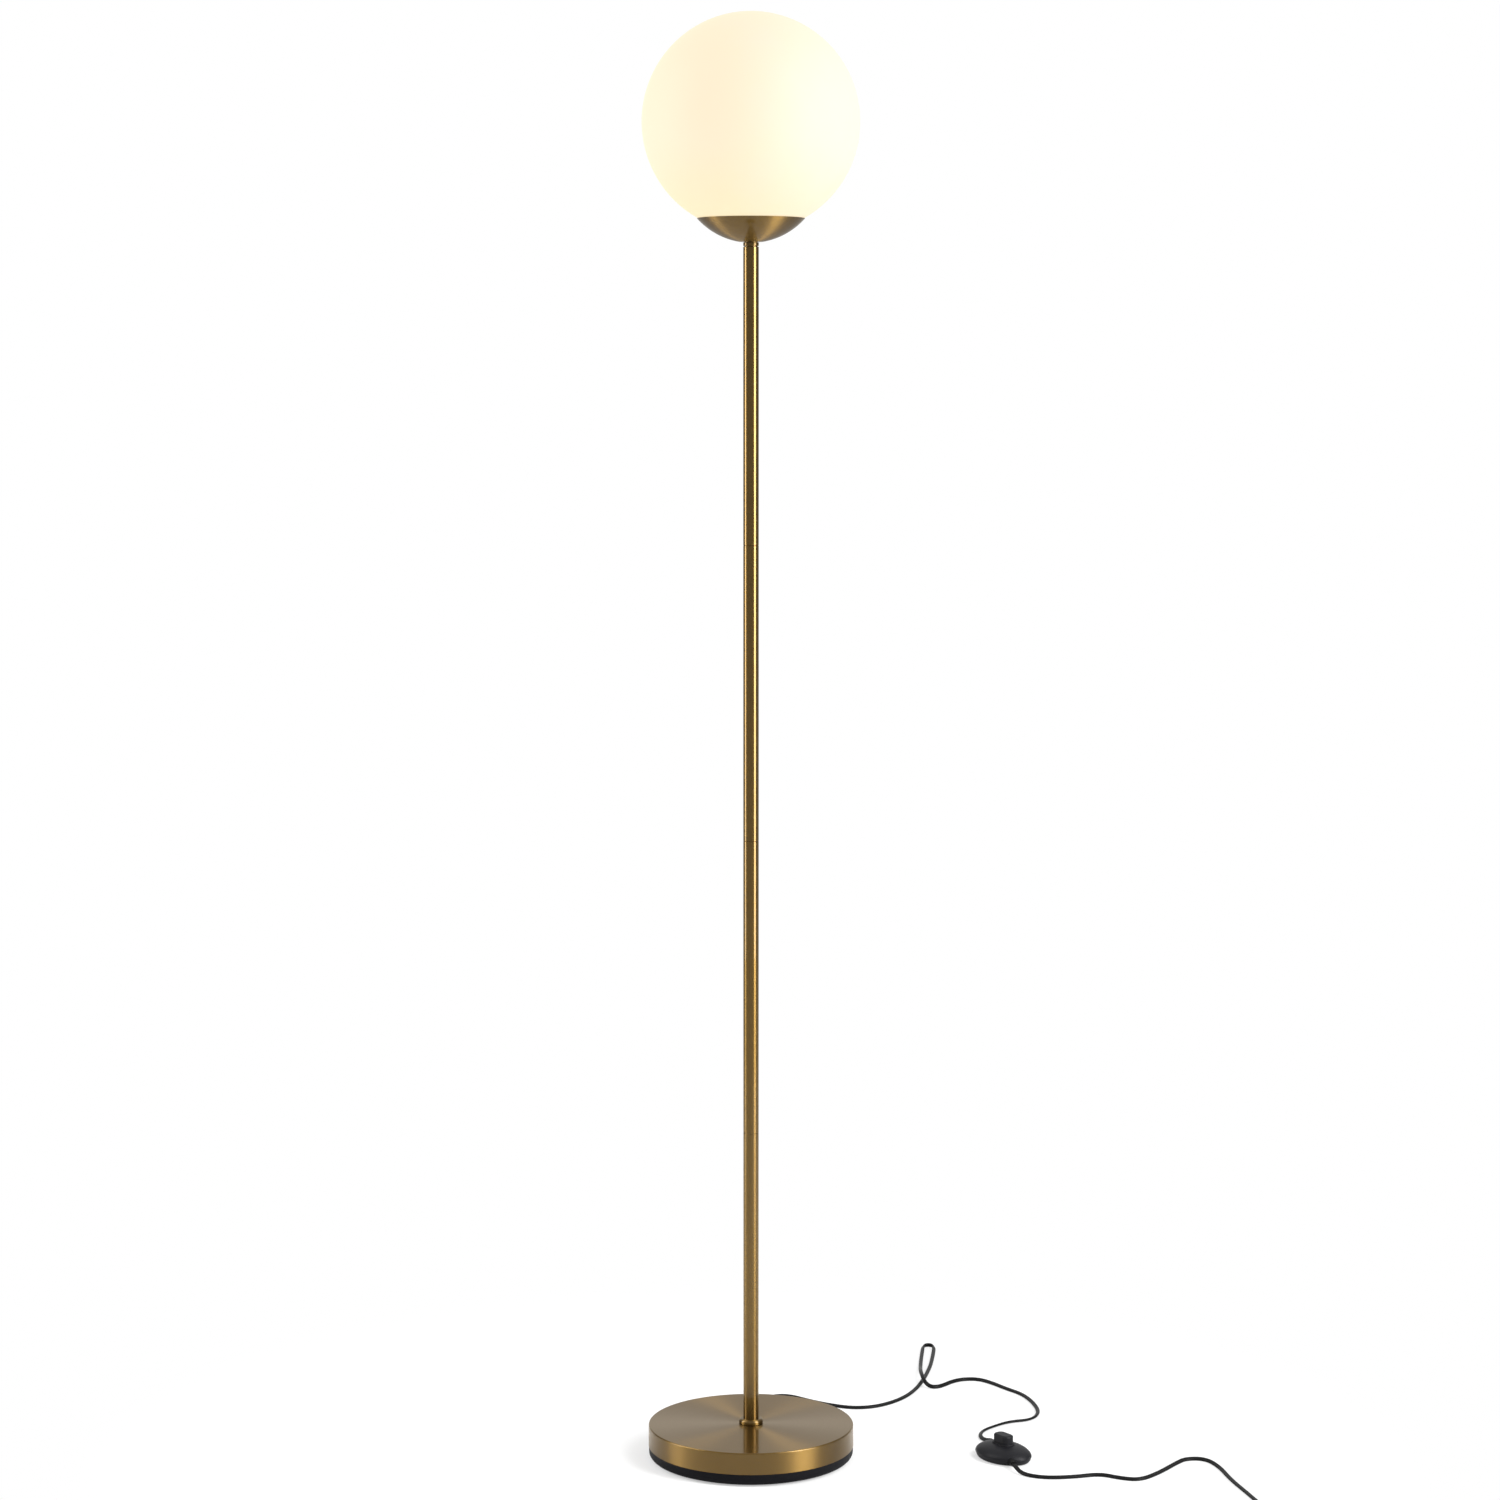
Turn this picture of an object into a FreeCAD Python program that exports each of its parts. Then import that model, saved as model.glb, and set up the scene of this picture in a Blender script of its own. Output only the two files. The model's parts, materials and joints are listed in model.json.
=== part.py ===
# Globe floor lamp: a flat round base, a four-section pole, a shallow cup and an opal glass globe,
# with a flat twin cord, a foot switch on it and a mains plug at its end.
# Millimetres. +Z is up, and the origin is the middle of the base, on the floor.
# +Y points away from the side that is seen first, and the cord leaves the base on that far side.
import FreeCAD, Part
import math
import os

import Sketcher

Vector = FreeCAD.Vector
UP = Vector(0, 0, 1)

# ---------------------------------------------------------------------------------------------
# The driving dimensions. Each becomes an aliased cell of the sheet named Sizes.
# ---------------------------------------------------------------------------------------------
SIZES = {
    # base
    "pad_thickness": (1.5, "foam ring under the base"),
    "pad_outer": (110.0, "foam ring, outer radius"),
    "pad_inner": (70.0, "foam ring, inner radius"),
    "pan_radius": (119.6, "black lower pan, outer radius"),
    "pan_top": (14.5, "height where the brass cover starts"),
    "pan_wall": (2.4, "pan wall and floor"),
    "pan_edge": (6.5, "rounding of the pan's lower edge"),
    "spigot_height": (3.5, "ring that centres the cover on the pan"),
    "cover_radius": (120.0, "brass cover, outer radius"),
    "cover_height": (25.0, "brass cover, height of its side"),
    "cover_wall": (1.2, "spun steel of the cover"),
    "cover_edge": (1.6, "rounding of the cover's upper edge"),
    "weight_radius": (115.5, "iron disc, radius at its foot"),
    "weight_top": (28.5, "iron disc, height of its flat top"),
    "weight_draft": (1.2, "how much narrower the disc is at its top"),
    "hub_radius": (26.0, "raised hub that the cover lies on"),
    "well_radius": (17.0, "well under the hub, for the nut and the cord's bend"),
    "well_top": (26.0, "height of the well's roof"),
    "channel_width": (14.0, "cord channel under the disc"),
    "channel_top": (14.2, "height of the channel's roof"),
    "cord_exit_height": (8.2, "height of the cord where it leaves the base"),
    "exit_sleeve": (25.0, "rubber sleeve, from the pan's inner face to its tip"),
    "exit_root": (2.0, "rubber sleeve, how far it reaches inside the pan"),
    "collar_radius": (14.0, "ring round the foot of the pole"),
    "collar_height": (5.8, "ring round the foot of the pole"),
    "collar_floor": (2.0, "thickness of the ring's floor, which the pole stands on"),
    "screw_circle": (45.0, "radius of the circle of the three pan screws"),
    # pole
    "pole_radius": (9.0, "pole tube"),
    "pole_wall": (1.2, "pole tube"),
    "section_length": (342.4, "one of the four equal pole sections"),
    "section_chamfer": (0.4, "bevel at each end of a section"),
    "bush_length": (14.0, "threaded insert in a section's end"),
    "bush_inset": (0.5, "how far an insert sits inside the end"),
    "stud_radius": (6.5, "thread of the studs that join the sections"),
    "stud_bore": (4.6, "cord passage through a stud"),
    "stud_length": (26.0, "joining stud"),
    "thread_gap": (0.05, "play between a stud and its insert"),
    "nipple_radius": (5.0, "lampholder nipple"),
    "nipple_bore": (3.6, "cord passage through the nipple"),
    # head
    "ring_height": (5.6, "ring between pole and cup"),
    "ring_groove": (0.8, "shadow gap above and below that ring"),
    "cup_sphere": (83.0, "radius of the sphere that the cup is cut from"),
    "cup_seat": (14.0, "radius of the flat in the cup's floor"),
    "cup_rim": (62.0, "cup, radius of its rim"),
    "cup_wall": (1.0, "cup, sheet thickness"),
    "globe_radius": (125.0, "opal globe"),
    "globe_wall": (3.0, "opal globe, glass thickness"),
    "globe_drop": (109.5, "height of the globe's centre over the cup's rim"),
    "neck_outer": (40.0, "globe neck, outer radius"),
    "neck_lift": (11.2, "height of the neck's end over the cup's floor"),
    "gallery_wall": (0.8, "spring steel of the gallery"),
    "gallery_dish": (32.3, "radius where the gallery's fingers start"),
    "gallery_rise": (6.2, "height of the gallery's dish"),
    "finger_top": (21.0, "height of the fingers over the cup's floor"),
    "finger_bow": (12.0, "radius of the fingers' outward bow"),
    "finger_slot": (9.0, "gap between two fingers"),
    "nut_height": (3.0, "nut that clamps the gallery"),
    "holder_radius": (19.6, "lampholder, outer radius"),
    "holder_shell": (13.5, "lampholder's screw shell, inner radius"),
    "holder_height": (52.0, "lampholder, cap and sleeve together"),
    # bulb, measured from the lampholder's foot
    "bulb_foot": (27.5, "height of the bulb's end contact"),
    "bulb_length": (108.0, "bulb, whole length"),
    "bulb_cap_radius": (13.1, "bulb's screw cap"),
    "bulb_dome_radius": (30.2, "bulb's opal dome"),
    # foot switch
    "switch_half_length": (38.8, "switch housing, half its length"),
    "switch_half_width": (28.0, "switch housing, half its width"),
    "switch_split": (6.6, "height where its two shells meet"),
    "switch_dome": (12.3, "rise of its upper shell"),
    "switch_belly": (14.7, "depth that the lower shell's curve would reach"),
    "switch_shell": (2.0, "thickness of its shells"),
    "switch_lip": (0.5, "how far the upper shell stands out over the lower"),
    "switch_under": (1.2, "rubber pad under the switch"),
    "button_length": (25.0, "pedal button, along the housing"),
    "button_width": (15.6, "pedal button, across the housing"),
    "button_top": (29.3, "height of the pedal button"),
    "button_play": (0.45, "gap round the button"),
    "button_rim": (1.5, "raised rim of the housing round the button"),
    "grommet_reach": (44.5, "from the switch's middle to a grommet's tip"),
    "grommet_length": (14.0, "cord grommet, whole length"),
    "screw_reach": (27.0, "from the switch's middle to each of its screws"),
    # cord and plug
    "cord_width": (5.0, "flat twin cord, its width"),
    "plug_thickness": (16.0, "plug body"),
    "plug_length": (34.0, "plug body"),
    "plug_half_width": (17.6, "plug body, at the pins"),
    "plug_neck": (6.5, "plug body, half width at the cord"),
    "pin_radius": (2.0, "plug pin"),
    "pin_length": (19.0, "plug pin"),
    "pin_spacing": (18.6, "distance between the pins"),
    "relief_length": (18.0, "sleeve between plug and cord"),
}


class Size:
    """A length: its value now, and the sheet expression that it is bound by."""

    def __init__(self, value, text=None):
        self.value = float(value)
        self.text = text or repr(float(value))

    def joined(self, other, sign, value):
        return Size(value, f"({self.text} {sign} {other.text})")

    def __add__(self, other):
        other = as_size(other)
        return self.joined(other, "+", self.value + other.value)

    def __sub__(self, other):
        other = as_size(other)
        return self.joined(other, "-", self.value - other.value)

    def __mul__(self, other):
        other = as_size(other)
        return self.joined(other, "*", self.value * other.value)

    def __truediv__(self, other):
        other = as_size(other)
        return self.joined(other, "/", self.value / other.value)

    def __radd__(self, other):
        return as_size(other) + self

    def __rsub__(self, other):
        return as_size(other) - self

    def __rmul__(self, other):
        return as_size(other) * self


def as_size(value):
    return value if isinstance(value, Size) else Size(value)


def leg(long_side, other_side):
    """The third side of a right-angled triangle, from its longest side and one other."""
    inside = long_side * long_side - other_side * other_side
    return Size(math.sqrt(inside.value), f"sqrt({inside.text})")


doc = FreeCAD.newDocument("globe_floor_lamp")
sheet = doc.addObject("Spreadsheet::Sheet", "Sizes")
size = {}
for line, (alias, (number, note)) in enumerate(SIZES.items(), start=1):
    sheet.set(f"A{line}", alias)
    sheet.set(f"B{line}", repr(number))
    sheet.set(f"C{line}", note)
    sheet.setAlias(f"B{line}", alias)
    size[alias] = Size(number, f"Sizes.{alias}")
doc.recompute()

nodes = []


# ---------------------------------------------------------------------------------------------
# Ways of making a sub-part
# ---------------------------------------------------------------------------------------------
def keep(thing, label):
    """Marks an object as a finished sub-part: its label names its file."""
    thing.Label = label
    nodes.append(thing)
    return thing


def bind(thing, **sizes):
    """Binds an object's lengths to sheet expressions."""
    for name, value in sizes.items():
        setattr(thing, name, as_size(value).value)
        thing.setExpression(name, as_size(value).text)
    return thing


def put(thing, x=0, y=0, z=0, turn=None):
    """Places an object, its position bound to the sheet where it isn't zero."""
    place = [as_size(x), as_size(y), as_size(z)]
    thing.Placement = FreeCAD.Placement(
        Vector(*(p.value for p in place)), turn or FreeCAD.Rotation()
    )
    for axis, p in zip("xyz", place):
        if p.value:
            thing.setExpression(f"Placement.Base.{axis}", p.text)
    return thing


def plane_of(body, role):
    return next(f for f in body.Origin.OriginFeatures if f.Role == role)


def arc_between(start, end, radius, turn):
    """An arc of less than half a circle that turns left (1) or right (-1), and its ends' numbers."""
    chord = end - start
    half = chord.Length / 2
    side = Vector(-chord.y, chord.x, 0).normalize() * turn
    centre = (start + end) * 0.5 + side * math.sqrt(max(radius**2 - half**2, 0))
    first, last = (start, end) if turn > 0 else (end, start)
    angles = [math.atan2(p.y - centre.y, p.x - centre.x) for p in (first, last)]
    arc = Part.ArcOfCircle(Part.Circle(centre, UP, radius), *angles)
    return (arc, 1, 2) if turn > 0 else (arc, 2, 1)


def outline(body, corners, role="XZ_Plane"):
    """A closed sketch through corners, each (across, up), every one bound to the sheet. A corner
    with two more items, a radius and a turn, starts an arc that ends at the next corner."""
    sketch = body.newObject("Sketcher::SketchObject", "outline")
    sketch.AttachmentSupport = [(plane_of(body, role), "")]
    sketch.MapMode = "FlatFace"
    corners = [tuple(as_size(c) for c in corner[:2]) + corner[2:] for corner in corners]
    spots = [Vector(c[0].value, c[1].value, 0) for c in corners]
    edges = []
    for corner, start, end in zip(corners, spots, spots[1:] + spots[:1]):
        if len(corner) == 2:
            edges.append((Part.LineSegment(start, end), 1, 2))
        else:
            edges.append(arc_between(start, end, as_size(corner[2]).value, corner[3]))
    for edge, _, _ in edges:
        sketch.addGeometry(edge, False)
    for n, (edge, first, last) in enumerate(edges):
        after = (n + 1) % len(edges)
        sketch.addConstraint(Sketcher.Constraint("Coincident", n, last, after, edges[after][1]))
    for n, (corner, (edge, first, last)) in enumerate(zip(corners, edges)):
        for kind, axis, value in (("DistanceX", -2, corner[0]), ("DistanceY", -1, corner[1])):
            if value.value == 0:
                sketch.addConstraint(Sketcher.Constraint("PointOnObject", n, first, axis))
                continue
            index = sketch.addConstraint(
                Sketcher.Constraint(kind, -1, 1, n, first, value.value)
            )
            sketch.setExpression(f"Constraints[{index}]", value.text)
        if len(corner) > 2:
            radius = as_size(corner[2])
            index = sketch.addConstraint(Sketcher.Constraint("Radius", n, radius.value))
            sketch.setExpression(f"Constraints[{index}]", radius.text)
    return sketch


def turned(label, corners, finished=True):
    """A body of revolution about its own Z axis."""
    body = doc.addObject("PartDesign::Body", label)
    sketch = outline(body, corners)
    spin = body.newObject("PartDesign::Revolution", "turning")
    spin.Profile = sketch
    spin.ReferenceAxis = (sketch, ["V_Axis"])
    spin.Angle = 360
    body.Tip = spin
    return keep(body, label) if finished else body


def ring(label, inner, outer, low, high):
    return turned(label, [(inner, low), (outer, low), (outer, high), (inner, high)])


def raised(label, corners, height, middle=False):
    """A body padded from an outline in its own XY plane."""
    body = doc.addObject("PartDesign::Body", label)
    pad = body.newObject("PartDesign::Pad", "pad")
    pad.Profile = outline(body, corners, "XY_Plane")
    bind(pad, Length=height)
    pad.Midplane = middle
    body.Tip = pad
    return keep(body, label)


def cut_out(body, kind, turn=None, x=0, y=0, z=0, around=0, **sizes):
    """Cuts a box, cylinder or cone out of a body, once or as a ring of equal cuts."""
    tool = body.newObject(f"PartDesign::Subtractive{kind}", kind.lower())
    bind(tool, **sizes)
    put(tool, x, y, z, turn)
    body.Tip = tool
    if around:
        doc.recompute()
        pattern = body.newObject("PartDesign::PolarPattern", "ring")
        pattern.Originals = [tool]
        pattern.Axis = (plane_of(body, "Z_Axis"), [""])
        pattern.Angle = 360
        pattern.Occurrences = around
        body.Tip = pattern
    return body


def rounded(body, radius, wanted):
    """Rounds the edges of a body's last feature for which wanted(edge) is true."""
    doc.recompute()
    base = body.Tip
    names = [f"Edge{n}" for n, e in enumerate(base.Shape.Edges, start=1) if wanted(e)]
    fillet = body.newObject("PartDesign::Fillet", "rounding")
    fillet.Base = (base, names)
    bind(fillet, Radius=radius)
    body.Tip = fillet
    return body


def solid(kind, x=0, y=0, z=0, turn=None, **sizes):
    """A Part primitive, placed and bound to the sheet."""
    return put(bind(doc.addObject(f"Part::{kind}", kind.lower()), **sizes), x, y, z, turn)


def fused(*shapes):
    whole = doc.addObject("Part::MultiFuse", "fuse")
    whole.Shapes = list(shapes)
    return whole


def without(base, *tools):
    cut = doc.addObject("Part::Cut", "cut")
    cut.Base = base
    cut.Tool = tools[0] if len(tools) == 1 else fused(*tools)
    return cut


def grouped(label, shapes):
    """Like fasteners, kept as one group of separate solids."""
    group = doc.addObject("Part::Compound", label)
    group.Links = shapes
    return keep(group, label)


def hexagon(across_flats):
    """The six corners of a nut, from its width across flats."""
    side = across_flats / math.sqrt(3)
    half = across_flats / 2
    return [
        (side, 0),
        (side / 2, half),
        (0 - side / 2, half),
        (0 - side, 0),
        (0 - side / 2, 0 - half),
        (side / 2, 0 - half),
    ]


def nut(label, across_flats, bore, low, height):
    body = raised(label, hexagon(across_flats), height)
    cut_out(body, "Cylinder", Radius=bore, Height=height)
    return put(body, z=low)


# ---------------------------------------------------------------------------------------------
# Heights that the sub-parts share, from the floor up
# ---------------------------------------------------------------------------------------------
pan_floor = size["pad_thickness"] + size["pan_wall"]
cover_top = size["pan_top"] + size["cover_height"]
cover_under = cover_top - size["cover_wall"]
pole_foot = cover_top + size["collar_floor"]
pole_top = pole_foot + 4 * size["section_length"]
cup_foot = pole_top + size["ring_height"]
cup_centre = cup_foot + leg(size["cup_sphere"], size["cup_seat"])
rim_height = cup_centre - leg(size["cup_sphere"], size["cup_rim"])
cup_floor = cup_foot + size["cup_wall"]
globe_centre = rim_height + size["globe_drop"]
neck_end = cup_floor + size["neck_lift"]
neck_inner = size["neck_outer"] - size["globe_wall"]
holder_foot = cup_floor + size["gallery_wall"] + size["nut_height"] + 0.1
stud_bore_wide = size["stud_radius"] + size["thread_gap"]
nipple_bore_wide = size["nipple_radius"] + size["thread_gap"]
cord_radius = size["cord_width"] / 2
spigot_radius = size["cover_radius"] - size["cover_wall"] - 0.3
pan_inside = spigot_radius - size["pan_wall"]


# ---------------------------------------------------------------------------------------------
# Base
# ---------------------------------------------------------------------------------------------
def build_base():
    ring("floor_pad", size["pad_inner"], size["pad_outer"], 0, size["pad_thickness"])
    build_pan()
    build_weight()
    build_cover()
    build_collar()
    nut_low = size["well_top"] - 7.5
    ring("base_washer", stud_bore_wide, 15, size["well_top"] - 2, size["well_top"])
    nut("base_nut", size["stud_radius"] * 3, stud_bore_wide, nut_low, 5.5)
    ring(
        "base_stud",
        size["stud_bore"],
        size["stud_radius"],
        nut_low - 1,
        pole_foot + size["bush_inset"] + size["bush_length"],
    )
    build_pan_screws()
    build_cord_exit()


def build_pan():
    """A moulded tray with a rounded lower edge, and a spigot that the cover drops over."""
    low = size["pad_thickness"]
    edge = size["pan_edge"]
    inner_edge = edge - size["pan_wall"]
    pan = turned(
        "base_pan",
        [
            (0, low),
            (size["pan_radius"] - edge, low, edge, 1),
            (size["pan_radius"], low + edge),
            (size["pan_radius"], size["pan_top"]),
            (spigot_radius, size["pan_top"]),
            (spigot_radius, size["pan_top"] + size["spigot_height"]),
            (pan_inside, size["pan_top"] + size["spigot_height"]),
            (pan_inside, pan_floor + inner_edge, inner_edge, -1),
            (pan_inside - inner_edge, pan_floor),
            (0, pan_floor),
        ],
    )
    cut_out(
        pan,
        "Cone",
        x=size["screw_circle"],
        z=low,
        around=3,
        Radius1=5.2,
        Radius2=2.7,
        Height=size["pan_wall"],
    )
    cut_out(
        pan,
        "Cylinder",
        turn=FreeCAD.Rotation(Vector(1, 0, 0), -90),
        y=pan_inside - 3,
        z=size["cord_exit_height"],
        Radius=4.3,
        Height=10,
    )


def build_weight():
    """A sand-cast iron disc: drafted side, soft edges, a hub for the cover, a well and a channel."""
    low = pan_floor + 0.1
    radius = size["weight_radius"]
    narrow = radius - size["weight_draft"]
    soft = 3.0
    hub = size["hub_radius"]
    weight = turned(
        "base_weight",
        [
            (size["well_radius"], low),
            (radius - 5, low),
            (radius, low + 5),
            (narrow, size["weight_top"] - soft, soft, 1),
            (narrow - soft, size["weight_top"]),
            (hub + 4, size["weight_top"], 4, -1),
            (hub, size["weight_top"] + 4),
            (hub - 1, cover_under),
            (size["stud_radius"] + 0.4, cover_under),
            (size["stud_radius"] + 0.4, size["well_top"]),
            (size["well_radius"], size["well_top"]),
        ],
    )
    cut_out(
        weight,
        "Cylinder",
        x=size["screw_circle"],
        z=low,
        around=3,
        Radius=2.5,
        Height=13,
    )
    cut_out(
        weight,
        "Box",
        x=0 - size["channel_width"] / 2,
        z=low,
        Length=size["channel_width"],
        Width=radius + 5,
        Height=size["channel_top"] - low,
    )


def build_cover():
    """The brass-finished drum: one spun sheet with a rounded upper edge."""
    wall = size["cover_wall"]
    inside = size["cover_radius"] - wall
    edge = size["cover_edge"]
    hole = size["stud_radius"] + 0.4
    turned(
        "base_cover",
        [
            (hole, cover_under),
            (inside - (edge - wall), cover_under, edge - wall, -1),
            (inside, cover_top - edge),
            (inside, size["pan_top"]),
            (size["cover_radius"], size["pan_top"]),
            (size["cover_radius"], cover_top - edge, edge, 1),
            (size["cover_radius"] - edge, cover_top),
            (hole, cover_top),
        ],
    )


def build_collar():
    """The turned ring that the pole stands in."""
    top = cover_top + size["collar_height"]
    outer = size["collar_radius"]
    socket = size["pole_radius"] + 0.1
    turned(
        "base_collar",
        [
            (size["stud_radius"] + 0.4, cover_top),
            (outer - 1.2, cover_top, 1.2, 1),
            (outer, cover_top + 1.2),
            (outer, top - 3.2, 3.2, 1),
            (outer - 3.2, top),
            (socket, top),
            (socket, pole_foot),
            (size["stud_radius"] + 0.4, pole_foot),
        ],
    )


def build_pan_screws():
    """Three countersunk screws that hold the pan to the iron disc."""
    screws = []
    for n in range(3):
        angle = math.radians(120 * n)
        x = size["screw_circle"] * math.cos(angle)
        y = size["screw_circle"] * math.sin(angle)
        head = solid("Cone", x, y, size["pad_thickness"] + 0.1, Radius1=4.9, Radius2=2.4, Height=2.3)
        shank = solid("Cylinder", x, y, size["pad_thickness"] + 2.4, Radius=2.4, Height=13)
        screws.append(fused(head, shank))
    grouped("pan_screws", screws)


def build_cord_exit():
    """The rubber sleeve moulded on the cord in the pan's wall, and the saddle that grips the cord
    behind it."""
    wall = size["pan_radius"] - pan_inside
    neck = 4.2
    sleeve = turned(
        "cord_bushing",
        [
            (0, 0 - size["exit_root"]),
            (neck, 0 - size["exit_root"]),
            (neck, wall + 0.1),
            (neck + 1.2, wall + 0.1),
            (neck + 1.2, wall + 1.6),
            (neck + 0.6, wall + 1.6),
            (cord_radius + 0.9, size["exit_sleeve"]),
            (0, size["exit_sleeve"]),
        ],
    )
    along = FreeCAD.Rotation(Vector(1, 0, 0), -90)
    put(sleeve, y=pan_inside, z=size["cord_exit_height"], turn=along)
    bore = cord_radius + 0.05
    low = pan_floor + 0.1
    block = solid("Box", -6.5, 52, low, Length=13, Width=16, Height=size["channel_top"] - low - 0.2)
    passage = solid(
        "Cylinder", 0, 50, size["cord_exit_height"], along, Radius=bore, Height=20
    )
    keep(without(block, passage), "cord_clamp")


# ---------------------------------------------------------------------------------------------
# Pole
# ---------------------------------------------------------------------------------------------
def build_pole():
    """Four equal tubes. Each end holds a threaded insert, and hollow studs join the tubes."""
    bevel = size["section_chamfer"]
    outer = size["pole_radius"]
    inner = outer - size["pole_wall"]
    inserts = []
    for n in range(4):
        low = pole_foot + n * size["section_length"]
        high = pole_foot + (n + 1) * size["section_length"]
        turned(
            f"pole_section_{n + 1}",
            [
                (inner, low),
                (outer - bevel, low),
                (outer, low + bevel),
                (outer, high - bevel),
                (outer - bevel, high),
                (inner, high),
            ],
        )
        inset = size["bush_inset"]
        for foot in (low + inset, high - inset - size["bush_length"]):
            sleeve = solid("Cylinder", z=foot, Radius=inner - 0.03, Height=size["bush_length"])
            thread = solid("Cylinder", z=foot, Radius=stud_bore_wide, Height=size["bush_length"])
            inserts.append(without(sleeve, thread))
        if n:
            half = size["stud_length"] / 2
            ring(f"coupling_stud_{n}", size["stud_bore"], size["stud_radius"], low - half, low + half)
    grouped("section_bushes", inserts)
    under = pole_top - size["bush_inset"]
    ring("top_reducer", nipple_bore_wide, size["stud_radius"], under - size["bush_length"], under)
    ring(
        "top_nipple",
        size["nipple_bore"],
        size["nipple_radius"],
        under - size["bush_length"],
        holder_foot + 7.8,
    )


# ---------------------------------------------------------------------------------------------
# Cup, gallery and lampholder
# ---------------------------------------------------------------------------------------------
def build_head():
    build_neck_ring()
    build_cup()
    build_gallery()
    nut(
        "gallery_nut",
        Size(14),
        nipple_bore_wide,
        cup_floor + size["gallery_wall"],
        size["nut_height"],
    )
    build_gasket()
    build_lampholder()


def build_neck_ring():
    """The short ring under the cup, with a shadow gap above and below it."""
    gap = size["ring_groove"]
    outer = size["pole_radius"]
    bevel = size["section_chamfer"]
    core = outer - 1.4
    turned(
        "neck_ring",
        [
            (nipple_bore_wide, pole_top),
            (core, pole_top),
            (core, pole_top + gap),
            (outer - bevel, pole_top + gap),
            (outer, pole_top + gap + bevel),
            (outer, cup_foot - gap - bevel),
            (outer - bevel, cup_foot - gap),
            (core, cup_foot - gap),
            (core, cup_foot),
            (nipple_bore_wide, cup_foot),
        ],
    )


def build_cup():
    """A shallow spun cup: a slice of a sphere with a small flat in its floor."""
    sphere = size["cup_sphere"]
    inner = sphere - size["cup_wall"]
    turned(
        "cup",
        [
            (nipple_bore_wide, cup_foot),
            (size["cup_seat"], cup_foot, sphere, 1),
            (size["cup_rim"], rim_height),
            (leg(inner, cup_centre - rim_height), rim_height, inner, -1),
            (leg(inner, cup_centre - cup_floor), cup_floor),
            (nipple_bore_wide, cup_floor),
        ],
    )


def build_gallery():
    """A dished spring-steel plate whose bowed fingers press outwards in the globe's neck."""
    wall = size["gallery_wall"]
    dish = size["gallery_dish"]
    root = cup_floor + size["gallery_rise"]
    tip = cup_floor + size["finger_top"]
    tip_radius = dish + 2.9
    bow = size["finger_bow"]
    gallery = turned(
        "gallery",
        [
            (nipple_bore_wide, cup_floor),
            (13, cup_floor),
            (dish, root, bow, 1),
            (tip_radius, tip),
            (tip_radius - wall, tip, bow - wall, -1),
            (dish - wall, root + wall),
            (13 - wall / 4, cup_floor + wall),
            (nipple_bore_wide, cup_floor + wall),
        ],
    )
    cut_out(
        gallery,
        "Box",
        x=dish - 4,
        y=0 - size["finger_slot"] / 2,
        z=root + 1,
        around=8,
        Length=12,
        Width=size["finger_slot"],
        Height=20,
    )
    cut_out(gallery, "Cylinder", x=22, z=cup_floor, around=6, Radius=3.5, Height=10)


def build_gasket():
    """A silicone ring of L section, between the globe's neck and the cup's slope."""
    inner = neck_inner + 0.3
    lip = size["neck_outer"] + 0.5
    outer = lip + 1.7
    slope = size["cup_sphere"] - size["cup_wall"] - 0.1
    turned(
        "seat_gasket",
        [
            (inner, cup_centre - leg(slope, inner)),
            (outer, cup_centre - leg(slope, outer)),
            (outer, neck_end + 2.3),
            (lip, neck_end + 2.3),
            (lip, neck_end),
            (inner, neck_end),
        ],
    )


def build_lampholder():
    """Cap, terminal block, sleeve, screw shell and centre contact of a screw-cap lampholder."""
    foot = holder_foot
    outer = size["holder_radius"]
    wall = 1.8
    turned(
        "holder_cap",
        [
            (nipple_bore_wide, foot),
            (9, foot),
            (9, foot + 3),
            (outer, foot + 11),
            (outer, foot + 17),
            (outer - wall, foot + 17),
            (outer - wall, foot + 11.6),
            (9.6, foot + 4.8),
            (8, foot + 4.8),
            (8, foot + 8),
            (nipple_bore_wide, foot + 8),
        ],
    )
    turned(
        "holder_block",
        [
            (0, foot + 12.8),
            (outer - wall - 0.2, foot + 12.8),
            (outer - wall - 0.2, foot + 20),
            (14, foot + 20),
            (14, foot + 21),
            (0, foot + 21),
        ],
    )
    bore = size["holder_shell"] + 0.9
    turned(
        "holder_sleeve",
        [
            (outer - wall, foot + 17.1),
            (outer, foot + 17.1),
            (outer, foot + 23),
            (outer - 1.4, foot + size["holder_height"] - 1),
            (outer - 2.4, foot + size["holder_height"]),
            (bore, foot + size["holder_height"]),
            (bore, foot + 23),
            (outer - wall, foot + 21.2),
        ],
    )
    ring(
        "screw_shell",
        size["holder_shell"],
        size["holder_shell"] + 0.45,
        foot + 21.1,
        foot + 47,
    )
    contact = raised(
        "centre_contact",
        [
            (-8, 0),
            (3, 0),
            (3, 0.5),
            (-7.3, 0.5),
            (-2, 5.6),
            (4, 5.6),
            (4, 6.1),
            (-2.2, 6.1),
            (-8, 0.5),
        ],
        5,
        middle=True,
    )
    put(contact, z=foot + 21.1, turn=FreeCAD.Rotation(Vector(1, 0, 0), 90))


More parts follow.
